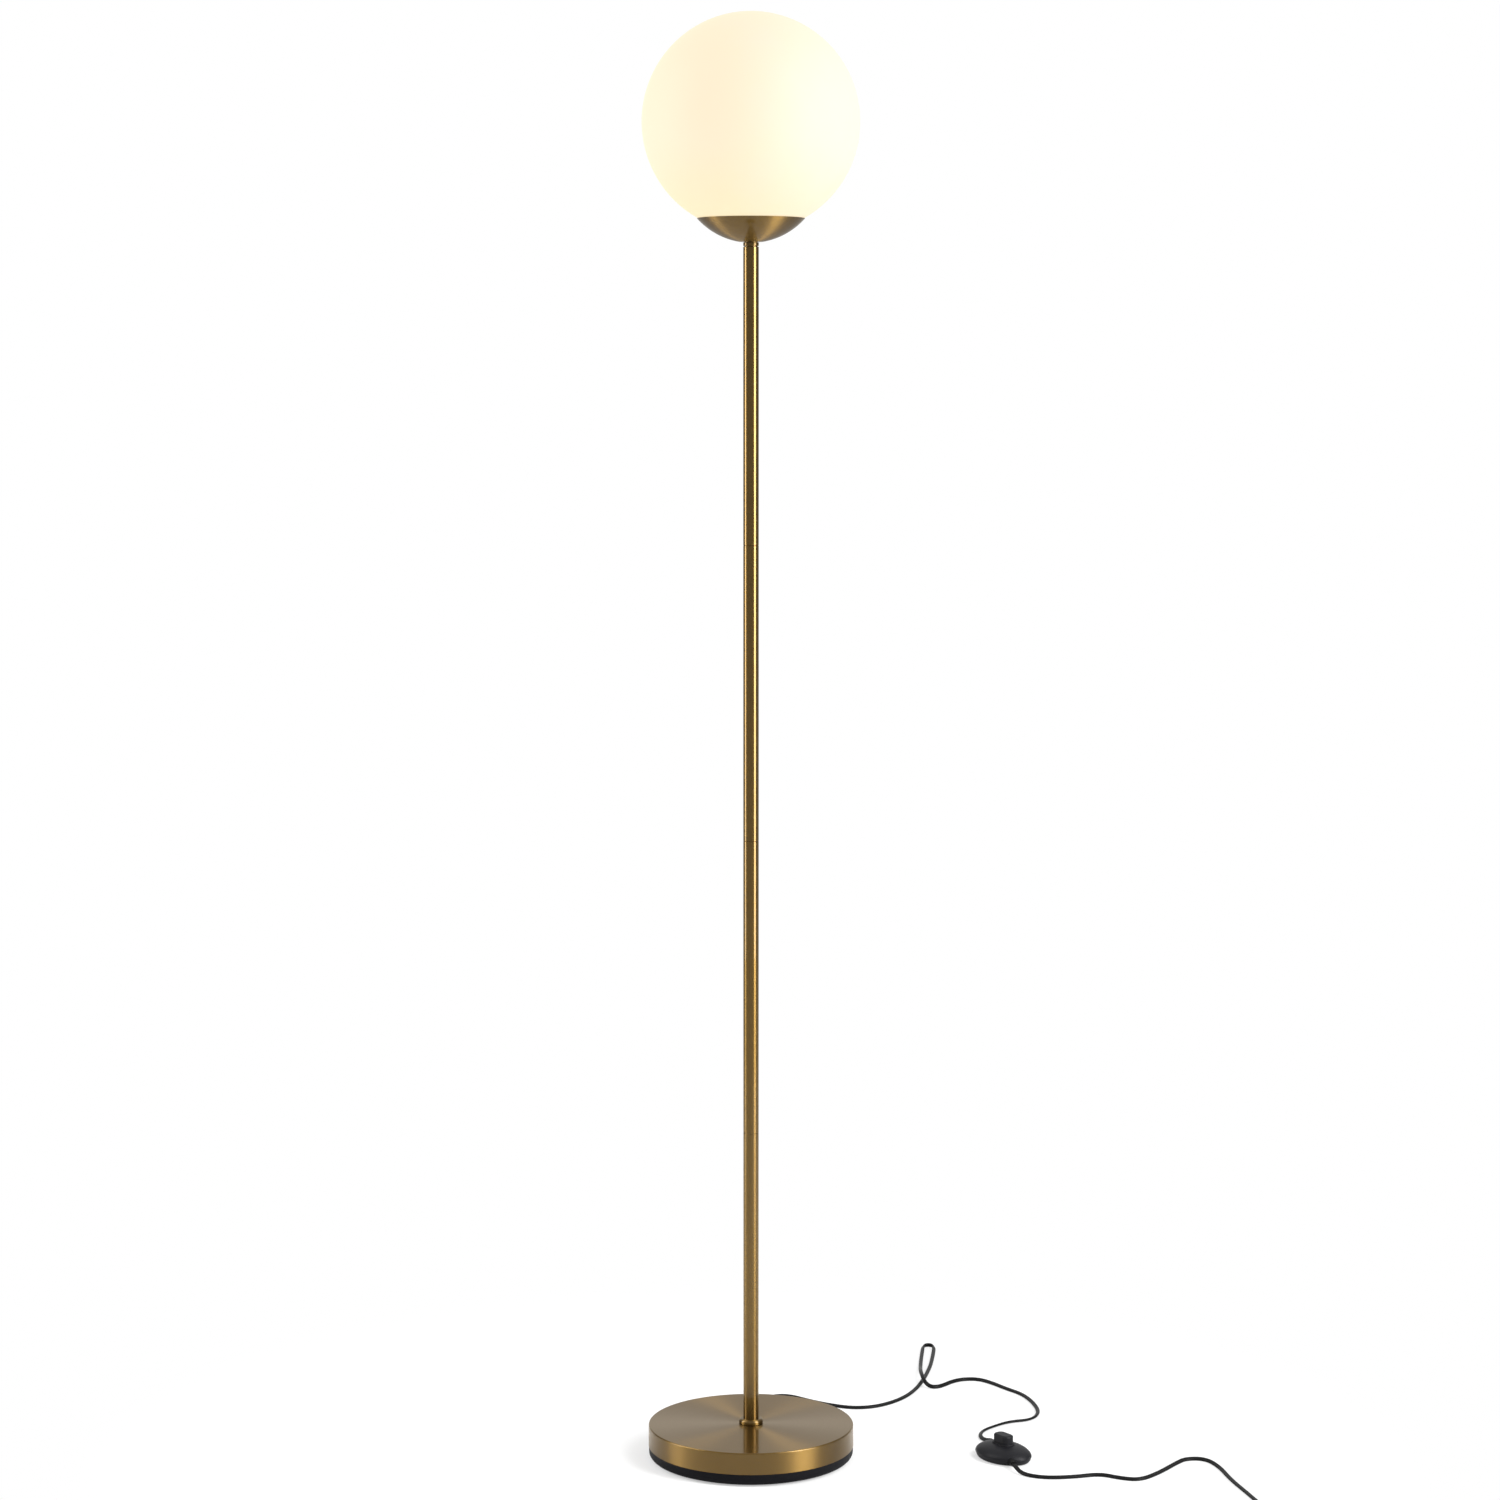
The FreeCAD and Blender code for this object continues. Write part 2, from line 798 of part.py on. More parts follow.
# ---------------------------------------------------------------------------------------------
# Bulb and globe
# ---------------------------------------------------------------------------------------------
def build_bulb():
    """A standard opal lamp with a screw cap, in the pieces that it is glued up from."""
    foot = holder_foot + size["bulb_foot"]
    cap = size["bulb_cap_radius"]
    turned("bulb_pip", [(0, foot), (4.6, foot), (5, foot + 0.8), (0, foot + 0.8)])
    turned(
        "bulb_insulator",
        [(0, foot + 0.8), (5.4, foot + 0.8), (11.4, foot + 3.8), (11.4, foot + 4.4), (0, foot + 4.4)],
    )
    turned(
        "bulb_cap",
        [
            (11.4, foot + 4.5),
            (11.8, foot + 4.5),
            (cap, foot + 6),
            (cap, foot + 26.8),
            (cap - 0.4, foot + 26.8),
            (cap - 0.4, foot + 6.2),
            (11.4, foot + 5),
        ],
    )
    shoulder = foot + 66.7
    wide = 28.4
    wall = 1.6
    turned(
        "bulb_housing",
        [
            (cap - 0.4, foot + 26.9),
            (cap + 0.5, foot + 26.9),
            (cap + 0.5, foot + 31, 75, -1),
            (wide, shoulder - 6),
            (wide + 0.6, shoulder),
            (wide - wall, shoulder),
            (wide - wall, shoulder - 5.6, 76.6, 1),
            (cap - 0.4, foot + 31.4),
        ],
    )
    plate = solid("Cylinder", z=shoulder - 5.5, Radius=25.5, Height=1.6)
    chips = [
        solid(
            "Box",
            17 * math.cos(math.radians(45 * n)) - 1.5,
            17 * math.sin(math.radians(45 * n)) - 1.5,
            shoulder - 3.9,
            Length=3,
            Width=3,
            Height=0.8,
        )
        for n in range(8)
    ]
    keep(fused(plate, *chips), "bulb_led_plate")
    dome = size["bulb_dome_radius"]
    middle = foot + size["bulb_length"] - dome
    drop = middle - shoulder - 0.1
    inner = dome - 1.4
    turned(
        "bulb_dome",
        [
            (leg(dome, drop), shoulder + 0.1, dome, 1),
            (0, foot + size["bulb_length"]),
            (0, foot + size["bulb_length"] - 1.4, inner, -1),
            (leg(inner, drop), shoulder + 0.1),
        ],
    )


def build_globe():
    """The blown opal globe with its short straight neck."""
    outer = size["globe_radius"]
    inner = outer - size["globe_wall"]
    turned(
        "globe_shade",
        [
            (neck_inner, neck_end),
            (size["neck_outer"], neck_end),
            (size["neck_outer"], globe_centre - leg(outer, size["neck_outer"]), outer, 1),
            (0, globe_centre + outer),
            (0, globe_centre + inner, inner, -1),
            (neck_inner, globe_centre - leg(inner, neck_inner)),
        ],
    )


# ---------------------------------------------------------------------------------------------
# Tubes: cords, leads and wound wire
# ---------------------------------------------------------------------------------------------
def bend(start, corner, end):
    """The arc that leaves start towards corner and arrives at end from it."""
    chord_middle = (start + end) * 0.5
    reach = (start - corner).Length
    out = chord_middle - corner
    half_turn = math.asin(min(1.0, out.Length / reach))
    radius = reach / math.tan(half_turn)
    middle = corner + out.normalize() * (radius / math.cos(half_turn) - radius)
    return Part.Arc(start, middle, end), radius


def swept(path, radius, start, direction):
    """A round tube along a smooth wire."""
    disc = Part.Wire([Part.Circle(start, direction, radius).toShape()])
    pipe = Part.BRepOffsetAPI.MakePipeShell(path)
    pipe.add(disc)
    pipe.build()
    pipe.makeSolid()
    return pipe.shape()


def laid_tube(points, radius, name):
    """A cord's free stretch: straight runs joined by arcs, each as large as its runs allow."""
    points = [Vector(*p) for p in points]
    pieces, radii, at = [], [], points[0]
    for before, corner, after in zip(points, points[1:], points[2:]):
        into, away = corner - before, after - corner
        arc_radius = 0.45 * min(into.Length, away.Length) / math.tan(into.getAngle(away) / 2)
        reach = 0.45 * min(into.Length, away.Length)
        start = corner - into.normalize() * reach
        end = corner + away.normalize() * reach
        pieces.append(Part.LineSegment(at, start))
        pieces.append(bend(start, corner, end)[0])
        radii.append(arc_radius)
        at = end
    pieces.append(Part.LineSegment(at, points[-1]))
    path = Part.Wire([piece.toShape() for piece in pieces])
    tube = swept(path, radius, points[0], points[1] - points[0])
    full = math.pi * radius**2 * path.Length
    print(f"{name}: length {path.Length:.0f}, radii", " ".join(f"{r:.0f}" for r in radii))
    print(f"{name}: volume {tube.Volume:.0f}, section times length {full:.0f}")
    return tube


def wound_tube(place_at, steps, radius, name, lead_in=0.0, lead_out=0.0):
    """One unbroken tube through the places and headings that place_at gives at 0..steps, each
    pair joined by two tangent arcs. A straight stretch leads in, and another leads out."""
    stops = [place_at(n) for n in range(steps + 1)]
    pieces, line = [], []
    if lead_in:
        start, heading = stops[0]
        pieces.append(Part.LineSegment(start - heading * lead_in, start))
    for (start, leave), (end, arrive) in zip(stops, stops[1:]):
        gap, both = end - start, leave + arrive
        spread = 2 * (1 - leave.dot(arrive))
        along = gap.dot(both)
        reach = (math.sqrt(along**2 + spread * gap.dot(gap)) - along) / spread
        knee, elbow = start + leave * reach, end - arrive * reach
        meet = (knee + elbow) * 0.5
        for a, c, b in ((start, knee, meet), (meet, elbow, end)):
            arc = bend(a, c, b)[0]
            pieces.append(arc)
            line.extend(arc.toShape().discretize(9)[:-1])
    if lead_out:
        end, heading = stops[-1]
        pieces.append(Part.LineSegment(end, end + heading * lead_out))
    path = Part.Wire([piece.toShape() for piece in pieces])
    first, heading = stops[0]
    tube = swept(path, radius, first - heading * lead_in, heading)
    apart = least_gap(line, 2 * radius)
    print(f"{name}: length {path.Length:.0f}, least gap to itself {apart:.2f}")
    return tube


def least_gap(line, diameter):
    """The least gap between a tube's surfaces, on points further apart along it than it bends."""
    travelled = [0.0]
    for a, b in zip(line, line[1:]):
        travelled.append(travelled[-1] + (b - a).Length)
    return min(
        (line[m] - line[n]).Length - diameter
        for n in range(len(line))
        for m in range(n + 1, len(line))
        if travelled[m] - travelled[n] > 4 * diameter
    )


def shaped(label, shape):
    """A sub-part whose shape is made here rather than by features."""
    feature = doc.addObject("Part::Feature", label)
    feature.Shape = shape
    return keep(feature, label)


# ---------------------------------------------------------------------------------------------
# Foot switch
# ---------------------------------------------------------------------------------------------
SWITCH_X, SWITCH_Y = 295.4, -10.4
SWITCH_TURN = -54.0
CORD_HEADING = -79.0
CORD_HEIGHT = 6.6
switch_turn = FreeCAD.Rotation(UP, SWITCH_TURN)


def on_switch(thing):
    """Moves a finished sub-part from its own drawing position to the switch's place."""
    thing.Placement = FreeCAD.Placement(Vector(SWITCH_X, SWITCH_Y, 0), switch_turn)
    return thing


def half_shell(upward, rise, trim=0):
    """Half an ellipsoid on the housing's plan, its flat face at the split height."""
    half = solid(
        "Ellipsoid",
        z=size["switch_split"],
        Radius1=rise,
        Radius2=size["switch_half_length"] - trim,
        Radius3=size["switch_half_width"] - trim,
    )
    half.Angle1, half.Angle2 = (0, 90) if upward else (-90, 0)
    return half


def slab(low, high):
    """Everything between two heights, for trimming the switch's shells."""
    reach = size["switch_half_length"] + 10
    return solid("Box", 0 - reach, 0 - reach, low, Length=2 * reach, Width=2 * reach, Height=high - low)


def cord_notches():
    """The bore that both cords enter by, straight through the housing on the cord's line."""
    reach = size["switch_half_length"] + 10
    turn = CORD_HEADING - SWITCH_TURN
    across = FreeCAD.Rotation(UP, turn).multiply(FreeCAD.Rotation(Vector(0, 1, 0), 90))
    back = across.multVec(Vector(0, 0, -reach.value))
    return solid("Cylinder", back.x, back.y, CORD_HEIGHT, across, Radius=3.8, Height=2 * reach)


def screw_places():
    return (0 - size["screw_reach"], size["screw_reach"])


def build_switch():
    build_switch_lower()
    build_switch_upper()
    build_button()
    build_contact_block()
    build_button_spring()
    build_switch_screws()
    build_grommets()


def build_switch_lower():
    """The flat underside shell and the rubber pad stuck to it."""
    shell = size["switch_shell"]
    under = size["switch_under"]
    lip = size["switch_lip"]
    depth = size["switch_belly"]
    pad_line = doc.addObject("Part::Ellipse", "pad_line")
    bind(pad_line, MajorRadius=size["switch_half_length"] - 9, MinorRadius=size["switch_half_width"] - 7)
    pad = doc.addObject("Part::Extrusion", "pad")
    pad.Base = pad_line
    pad.Dir = UP
    bind(pad, LengthFwd=under)
    pad.Solid = True
    on_switch(keep(pad, "switch_pad"))
    bowl = without(half_shell(False, depth, lip), slab(under - 20, under))
    hollow = without(half_shell(False, depth - shell, lip + shell), slab(under - 20, under + shell + 0.5))
    holes = [solid("Cylinder", x, Radius=1.7, Height=8) for x in screw_places()]
    on_switch(keep(without(bowl, hollow, cord_notches(), *holes), "switch_base"))


def build_switch_upper():
    """The domed upper shell, with a raised rim round the button's opening and two screw bosses."""
    split = size["switch_split"]
    shell = size["switch_shell"]
    rise = size["switch_dome"]
    play = size["button_play"]
    rim_top = split + rise + 0.6
    rim = pedal_block("button_rim", split + rise - 4, rim_top, play + size["button_rim"])
    rounded(rim, 0.8, lambda e: e.BoundBox.ZMin > rim_top.value - 0.01)
    opening = pedal_block("button_opening", split, size["button_top"], play)
    hollow = half_shell(True, rise - shell, shell)
    bare = without(fused(half_shell(True, rise), rim), hollow, opening, cord_notches())
    bosses = []
    for x in screw_places():
        post = solid("Cylinder", x, z=split, Radius=3.2, Height=10)
        pilot = solid("Cylinder", x, z=split, Radius=1.3, Height=6)
        bosses.append(common(without(post, pilot), half_shell(True, rise - 1, 1)))
    on_switch(keep(fused(bare, *bosses), "switch_top"))


def common(first, second):
    overlap = doc.addObject("Part::Common", "common")
    overlap.Base, overlap.Tool = first, second
    return overlap


def pedal_block(name, low, high, grown):
    """The button's rounded oblong, or a larger one for its opening, from one height to another."""
    body = doc.addObject("PartDesign::Body", name)
    block = body.newObject("PartDesign::AdditiveBox", "oblong")
    length = size["button_length"] + 2 * as_size(grown)
    width = size["button_width"] + 2 * as_size(grown)
    bind(block, Length=length, Width=width, Height=high - low)
    put(block, 0 - length / 2, 0 - width / 2, low)
    body.Tip = block
    return rounded(body, width / 2 - 1.2, lambda e: abs(e.tangentAt(e.FirstParameter).z) > 0.9)


def build_button():
    """The pedal button: a soft-edged oblong with a flange that keeps it in, and a plunger."""
    split = size["switch_split"]
    top = size["button_top"]
    button = pedal_block("switch_button", split + 8.2, top, 0)
    rounded(button, 2.6, lambda e: e.BoundBox.ZMin > top.value - 0.01)
    flange = button.newObject("PartDesign::AdditiveCylinder", "flange")
    bind(flange, Radius=10.4, Height=1.6)
    put(flange, z=split + 6.8)
    plunger = button.newObject("PartDesign::AdditiveCylinder", "plunger")
    bind(plunger, Radius=1.9, Height=6.4)
    put(plunger, z=split + 0.5)
    button.Tip = plunger
    on_switch(keep(button, "switch_button"))


def build_contact_block():
    """The block that carries the contacts, with a well for the plunger."""
    low, height = 3.9, 3.2
    block = solid("Box", -11, -12, low, Length=22, Width=24, Height=height)
    well = solid("Cylinder", z=low, Radius=3.2, Height=height)
    on_switch(keep(without(block, well), "contact_block"))


def build_button_spring():
    """The return spring round the plunger: three turns of wire."""
    wire, mean, low, high = 0.3, 4.4, 7.5, 13.0
    steps = 12

    def on_spring(n):
        angle = math.tau * n / 4
        climb = (high - low) / steps
        spot = Vector(mean * math.cos(angle), mean * math.sin(angle), low + climb * n)
        heading = Vector(-math.sin(angle), math.cos(angle), climb / (mean * math.tau / 4))
        return spot, heading.normalize()

    spring = shaped("button_spring", wound_tube(on_spring, steps, wire, "button_spring"))
    on_switch(spring)


def build_switch_screws():
    """Two screws from below that pull the shells together."""
    screws = []
    for x in screw_places():
        head = solid("Cylinder", x, z=size["switch_under"] + 0.1, Radius=1.6, Height=0.5)
        shank = solid("Cylinder", x, z=size["switch_under"] + 0.6, Radius=1.25, Height=9)
        screws.append(fused(head, shank))
    on_switch(grouped("switch_screws", screws))


def build_grommets():
    """Tapered rubber grommets, moulded on the cord where it enters and leaves the switch."""
    reach = size["grommet_reach"]
    root = reach - size["grommet_length"]
    for label, side in (("switch_inlet", -1), ("switch_outlet", 1)):
        grommet = turned(
            label,
            [(0, root), (3.6, root), (3.6, root + 5), (cord_radius + 0.5, reach), (0, reach)],
        )
        tilt = FreeCAD.Rotation(Vector(0, 1, 0), 90 * side)
        grommet.Placement = FreeCAD.Placement(
            Vector(SWITCH_X, SWITCH_Y, CORD_HEIGHT),
            FreeCAD.Rotation(UP, CORD_HEADING).multiply(tilt),
        )


# ---------------------------------------------------------------------------------------------
# Cord, coil and plug
# ---------------------------------------------------------------------------------------------
FLOOR_Z = 2.6
CREST_Z = 10.6

# From the sleeve behind the base, round its right side, through a narrow loop and back to the switch.
TO_SWITCH = [
    (0, 141.1, 8.2),
    (0, 158, 8.2),
    (2, 178, 4.6),
    (8, 203, FLOOR_Z),
    (20, 234, FLOOR_Z),
    (45, 242, FLOOR_Z),
    (72, 217, FLOOR_Z),
    (98, 199, FLOOR_Z),
    (128, 186, FLOOR_Z),
    (158, 195, FLOOR_Z),
    (187, 226, FLOOR_Z),
    (206, 267, FLOOR_Z),
    (219, 317, FLOOR_Z),
    (229.5, 372, FLOOR_Z),
    (235, 419, FLOOR_Z),
    (237.4, 443, FLOOR_Z),
    (238.3, 455, FLOOR_Z),
    (237.8, 463.2, FLOOR_Z),
    (234.8, 468.7, FLOOR_Z),
    (228.8, 469, FLOOR_Z),
    (225.2, 463.6, FLOOR_Z),
    (223.8, 455, FLOOR_Z),
    (222.4, 440, FLOOR_Z),
    (220.2, 416, FLOOR_Z),
    (217.6, 384, FLOOR_Z),
    (216, 356, 4.8),
    (215, 334, 9.2),
    (214.6, 322, CREST_Z),
    (215.4, 299, CREST_Z),
    (218.2, 282, 6.6),
    (224.5, 275, 3.2),
    (233.5, 276.5, FLOOR_Z),
    (242, 285, FLOOR_Z),
    (253, 301, FLOOR_Z),
    (268, 312, FLOOR_Z),
    (287, 312, FLOOR_Z),
    (302, 297, FLOOR_Z),
    (319, 270.5, FLOOR_Z),
    (338, 246, FLOOR_Z),
    (349, 206, FLOOR_Z),
    (352, 166, FLOOR_Z),
    (340, 137, FLOOR_Z),
    (312, 130, FLOOR_Z),
    (288, 106, FLOOR_Z),
    (277.5, 91, FLOOR_Z),
    (273.6, 75, FLOOR_Z),
    (274.6, 61.5, FLOOR_Z),
    (279.2, 51, 3.8),
    (285.38, 41.2, 6.6),
    (286.9, 33.31, 6.6),
]

# From the switch to the right and forwards, in low waves, to where the spare length is coiled.
TO_COIL = [
    (303.9, -54.11, 6.6),
    (305.8, -63.9, 6.6),
    (310.5, -74, 3.6),
    (321, -83, FLOOR_Z),
    (341, -90, FLOOR_Z),
    (372, -86.5, FLOOR_Z),
    (402, -76, FLOOR_Z),
    (424, -92, FLOOR_Z),
    (446, -98, FLOOR_Z),
    (470, -72, FLOOR_Z),
    (494, -36, FLOOR_Z),
    (508, -18, FLOOR_Z),
    (531, -19, FLOOR_Z),
    (543, -48, FLOOR_Z),
    (550, -97, FLOOR_Z),
    (562, -146, FLOOR_Z),
    (573, -196, FLOOR_Z),
    (573, -240, FLOOR_Z),
]

COIL_RADIUS = 30.3
COIL_PITCH = 5.5
COIL_TURNS_DOWN = 2.0
COIL_CLIMB = 0.5
COIL_TURNS_UP = 1.75
COIL_LEAD_IN = 5.0
COIL_LEAD_OUT = 14.0


def coil_place(turns):
    """Where the coil is after so many turns, and its heading: two layers, in and out again."""
    coil_x = TO_COIL[-1][0] - COIL_RADIUS
    coil_y = TO_COIL[-1][1] - COIL_LEAD_IN

    def spot(t):
        back = COIL_TURNS_DOWN + COIL_CLIMB / 2
        radius = COIL_RADIUS - COIL_PITCH * (back - abs(t - back))
        share = min(max((t - COIL_TURNS_DOWN) / COIL_CLIMB, 0), 1)
        rise = COIL_PITCH * (1 - math.cos(math.pi * share)) / 2
        angle = -math.tau * t
        return Vector(
            coil_x + radius * math.cos(angle), coil_y + radius * math.sin(angle), FLOOR_Z + rise
        )

    step = 1e-4
    ahead = spot(turns + step) - spot(turns - step)
    return spot(turns), ahead.normalize()


def build_cord():
    radius = cord_radius.value
    shaped("cord_to_switch", laid_tube(TO_SWITCH, radius, "cord_to_switch"))
    shaped("cord_to_coil", laid_tube(TO_COIL, radius, "cord_to_coil"))
    turns = COIL_TURNS_DOWN + COIL_CLIMB + COIL_TURNS_UP
    quarter_turns = round(4 * turns)

    def on_coil(n):
        spot, heading = coil_place(turns * n / quarter_turns)
        if n in (0, quarter_turns):
            heading = Vector(round(heading.x), round(heading.y), 0)
        return spot, heading

    coil = wound_tube(on_coil, quarter_turns, radius, "cord_coil", COIL_LEAD_IN, COIL_LEAD_OUT)
    shaped("cord_coil", coil)
    build_lead()
    build_plug(on_coil(quarter_turns)[0] - Vector(COIL_LEAD_OUT, 0, 0))


def build_lead():
    """The same cord inside the lamp: along the channel, round one bend and up the pole."""
    exit_z = SIZES["cord_exit_height"][0]
    curve = 11.0
    start = Vector(0, (pan_inside - size["exit_root"]).value, exit_z)
    top = Vector(0, 0, (holder_foot + 12).value)
    corner = Vector(0, 0, exit_z)
    leave, arrive = corner + Vector(0, curve, 0), corner + Vector(0, 0, curve)
    path = Part.Wire(
        [
            Part.LineSegment(start, leave).toShape(),
            bend(leave, corner, arrive)[0].toShape(),
            Part.LineSegment(arrive, top).toShape(),
        ]
    )
    shaped("inner_lead", swept(path, cord_radius.value, start, corner - start))


def build_plug(mouth):
    """A two-pin plug that lies on the floor: relief sleeve, flat tapered body and round pins."""
    along = FreeCAD.Rotation(Vector(0, 1, 0), -90)
    relief = size["relief_length"]
    sleeve = turned(
        "plug_relief",
        [(0, 0), (cord_radius + 0.6, 0), (4.6, relief), (0, relief)],
    )
    sleeve.Placement = FreeCAD.Placement(mouth, along)
    length, wide, neck = size["plug_length"], size["plug_half_width"], size["plug_neck"]
    back = mouth.x - relief
    body = raised(
        "plug_body",
        [
            (0, neck),
            (-5, neck, 45, -1),
            (12 - length, wide),
            (0 - length, wide),
            (0 - length, 0 - wide),
            (12 - length, 0 - wide, 45, -1),
            (-5, 0 - neck),
            (0, 0 - neck),
        ],
        size["plug_thickness"],
        middle=True,
    )
    rounded(body, 2.5, lambda e: abs(e.tangentAt(e.FirstParameter).z) < 0.1)
    put(body, back, mouth.y, mouth.z)
    tip = 1.2
    pins = []
    for side in (-1, 1):
        y = mouth.y + side * size["pin_spacing"] / 2
        shank = solid(
            "Cylinder",
            back - length,
            y,
            mouth.z,
            along,
            Radius=size["pin_radius"],
            Height=size["pin_length"] - tip,
        )
        end = solid(
            "Cone",
            back - length - size["pin_length"] + tip,
            y,
            mouth.z,
            along,
            Radius1=size["pin_radius"],
            Radius2=size["pin_radius"] / 2,
            Height=tip,
        )
        pins.append(fused(shank, end))
    grouped("plug_pins", pins)


# ---------------------------------------------------------------------------------------------
# Build, check and write
# ---------------------------------------------------------------------------------------------
def write_parts():
    doc.recompute()
    bad = [o.Name for o in doc.Objects if {"Invalid", "Error"} & set(o.State)]
    assert not bad, f"these objects failed: {bad}"
    os.makedirs("parts", exist_ok=True)
    for node in nodes:
        shape = node.Shape
        assert not shape.isNull() and shape.isValid(), f"{node.Label} has a bad shape"
        assert shape.Solids, f"{node.Label} has no solid"
        shape.exportStep(os.path.join("parts", f"{node.Label}.step"))
    print(f"{len(nodes)} sub-parts written")


build_base()
build_pole()
build_head()
build_bulb()
build_globe()
build_switch()
build_cord()
write_parts()
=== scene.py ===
"""A globe floor lamp: finishes on its turned pieces, its flat twin cord with foot switch and plug,
and a plain white studio. Metres, with the origin in the middle of the base, on the floor."""

import json
import math

import bmesh
import bpy
from bpy.props import FloatProperty, FloatVectorProperty, IntProperty, PointerProperty
from mathutils import Matrix, Vector


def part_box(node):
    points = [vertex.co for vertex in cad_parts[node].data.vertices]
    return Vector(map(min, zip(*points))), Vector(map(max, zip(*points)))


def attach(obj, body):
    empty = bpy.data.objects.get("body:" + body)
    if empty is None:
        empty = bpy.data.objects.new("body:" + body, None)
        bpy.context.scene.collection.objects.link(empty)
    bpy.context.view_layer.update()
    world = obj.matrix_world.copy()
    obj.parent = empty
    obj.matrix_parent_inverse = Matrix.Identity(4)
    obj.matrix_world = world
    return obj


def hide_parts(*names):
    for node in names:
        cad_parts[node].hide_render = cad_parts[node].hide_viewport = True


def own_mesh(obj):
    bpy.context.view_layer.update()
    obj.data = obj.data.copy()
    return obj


bl_info = {
    "name": "Globe floor lamp",
    "version": (1, 0, 0),
    "blender": (4, 5, 0),
    "location": "3D View > Sidebar > Globe lamp",
    "description": "Finishes, cord and studio for a brass floor lamp with an opal globe",
    "category": "Object",
}

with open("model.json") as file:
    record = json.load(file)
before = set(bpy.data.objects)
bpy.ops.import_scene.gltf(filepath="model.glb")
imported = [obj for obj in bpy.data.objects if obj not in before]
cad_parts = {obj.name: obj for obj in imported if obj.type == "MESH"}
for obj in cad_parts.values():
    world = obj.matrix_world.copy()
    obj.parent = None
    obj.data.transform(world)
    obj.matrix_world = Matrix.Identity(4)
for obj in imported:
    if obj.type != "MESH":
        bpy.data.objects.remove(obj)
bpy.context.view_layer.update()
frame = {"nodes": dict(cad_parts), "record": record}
NODES = frame["nodes"]
MM = 0.001


# ---------------------------------------------------------------------------------------------
# Sizes and colours that a user would change
# ---------------------------------------------------------------------------------------------
def colour(name, description, default):
    return FloatVectorProperty(
        name=name, description=description, subtype="COLOR", size=3, min=0, max=1, default=default
    )


def length(name, description, default):
    return FloatProperty(
        name=name, description=description, unit="LENGTH", min=0, default=default
    )


class LampFinishes(bpy.types.PropertyGroup):
    """The colours of the lamp's pieces, as plain light shows them."""

    brass: colour("Brass", "Antique brass under clear lacquer", (0.150, 0.090, 0.024))
    glow: colour("Glow", "Light of the lit opal glass", (1.0, 0.84, 0.60))
    glow_low: colour("Glow low down", "Light of the glass near the cup", (1.0, 0.82, 0.49))
    black: colour("Black moulding", "Switch, plug and pan", (0.006, 0.006, 0.0075))
    cord: colour("Cord", "Black cord", (0.005, 0.005, 0.005))


class CordSizes(bpy.types.PropertyGroup):
    """The flat twin cord and its put-away coil."""

    width: length("Width", "Width of the flat cord", 5.0 * MM)
    core: length("Core", "Radius of one of its two cores", 1.5 * MM)
    coil_radius: length("Coil radius", "Outermost turn of the put-away coil", 30.3 * MM)
    coil_pitch: length("Coil pitch", "Step between neighbouring turns", 5.5 * MM)
    coil_layer: length("Coil layer", "Height of one layer of turns over the other", 3.1 * MM)
    coil_points: IntProperty(
        name="Points per turn", description="Points in one turn of the coil", min=12, default=16
    )


class StudioSettings(bpy.types.PropertyGroup):
    """The camera, the lamps and the white surroundings."""

    camera_back: length("Camera distance", "From the pole to the camera", 4.025)
    camera_height: length("Camera height", "Height of the camera", 1.244)
    camera_tilt: FloatProperty(
        name="Camera tilt", description="How far the camera looks down", subtype="ANGLE",
        default=math.radians(4),
    )
    focal: FloatProperty(
        name="Focal length", description="Lens, on a 36 mm wide sensor", unit="CAMERA",
        default=83.9,
    )
    around: FloatProperty(
        name="Surroundings", description="Light from all round the lamp", min=0, default=0.62
    )


# ---------------------------------------------------------------------------------------------
# Shader building
# ---------------------------------------------------------------------------------------------
class Wire:
    """A socket that sums can be written with: each sum adds its Math node."""

    def __init__(self, finish, socket):
        self.finish = finish
        self.socket = socket

    def math(self, operation, *others, flipped=False):
        values = [self, *others]
        if flipped:
            values.reverse()
        return self.finish.node("ShaderNodeMath", {"operation": operation}, dict(enumerate(values)))

    def __add__(self, other):
        return self.math("ADD", other)

    def __radd__(self, other):
        return self.math("ADD", other)

    def __sub__(self, other):
        return self.math("SUBTRACT", other)

    def __rsub__(self, other):
        return self.math("SUBTRACT", other, flipped=True)

    def __mul__(self, other):
        return self.math("MULTIPLY", other)

    def __rmul__(self, other):
        return self.math("MULTIPLY", other)

    def __truediv__(self, other):
        return self.math("DIVIDE", other)


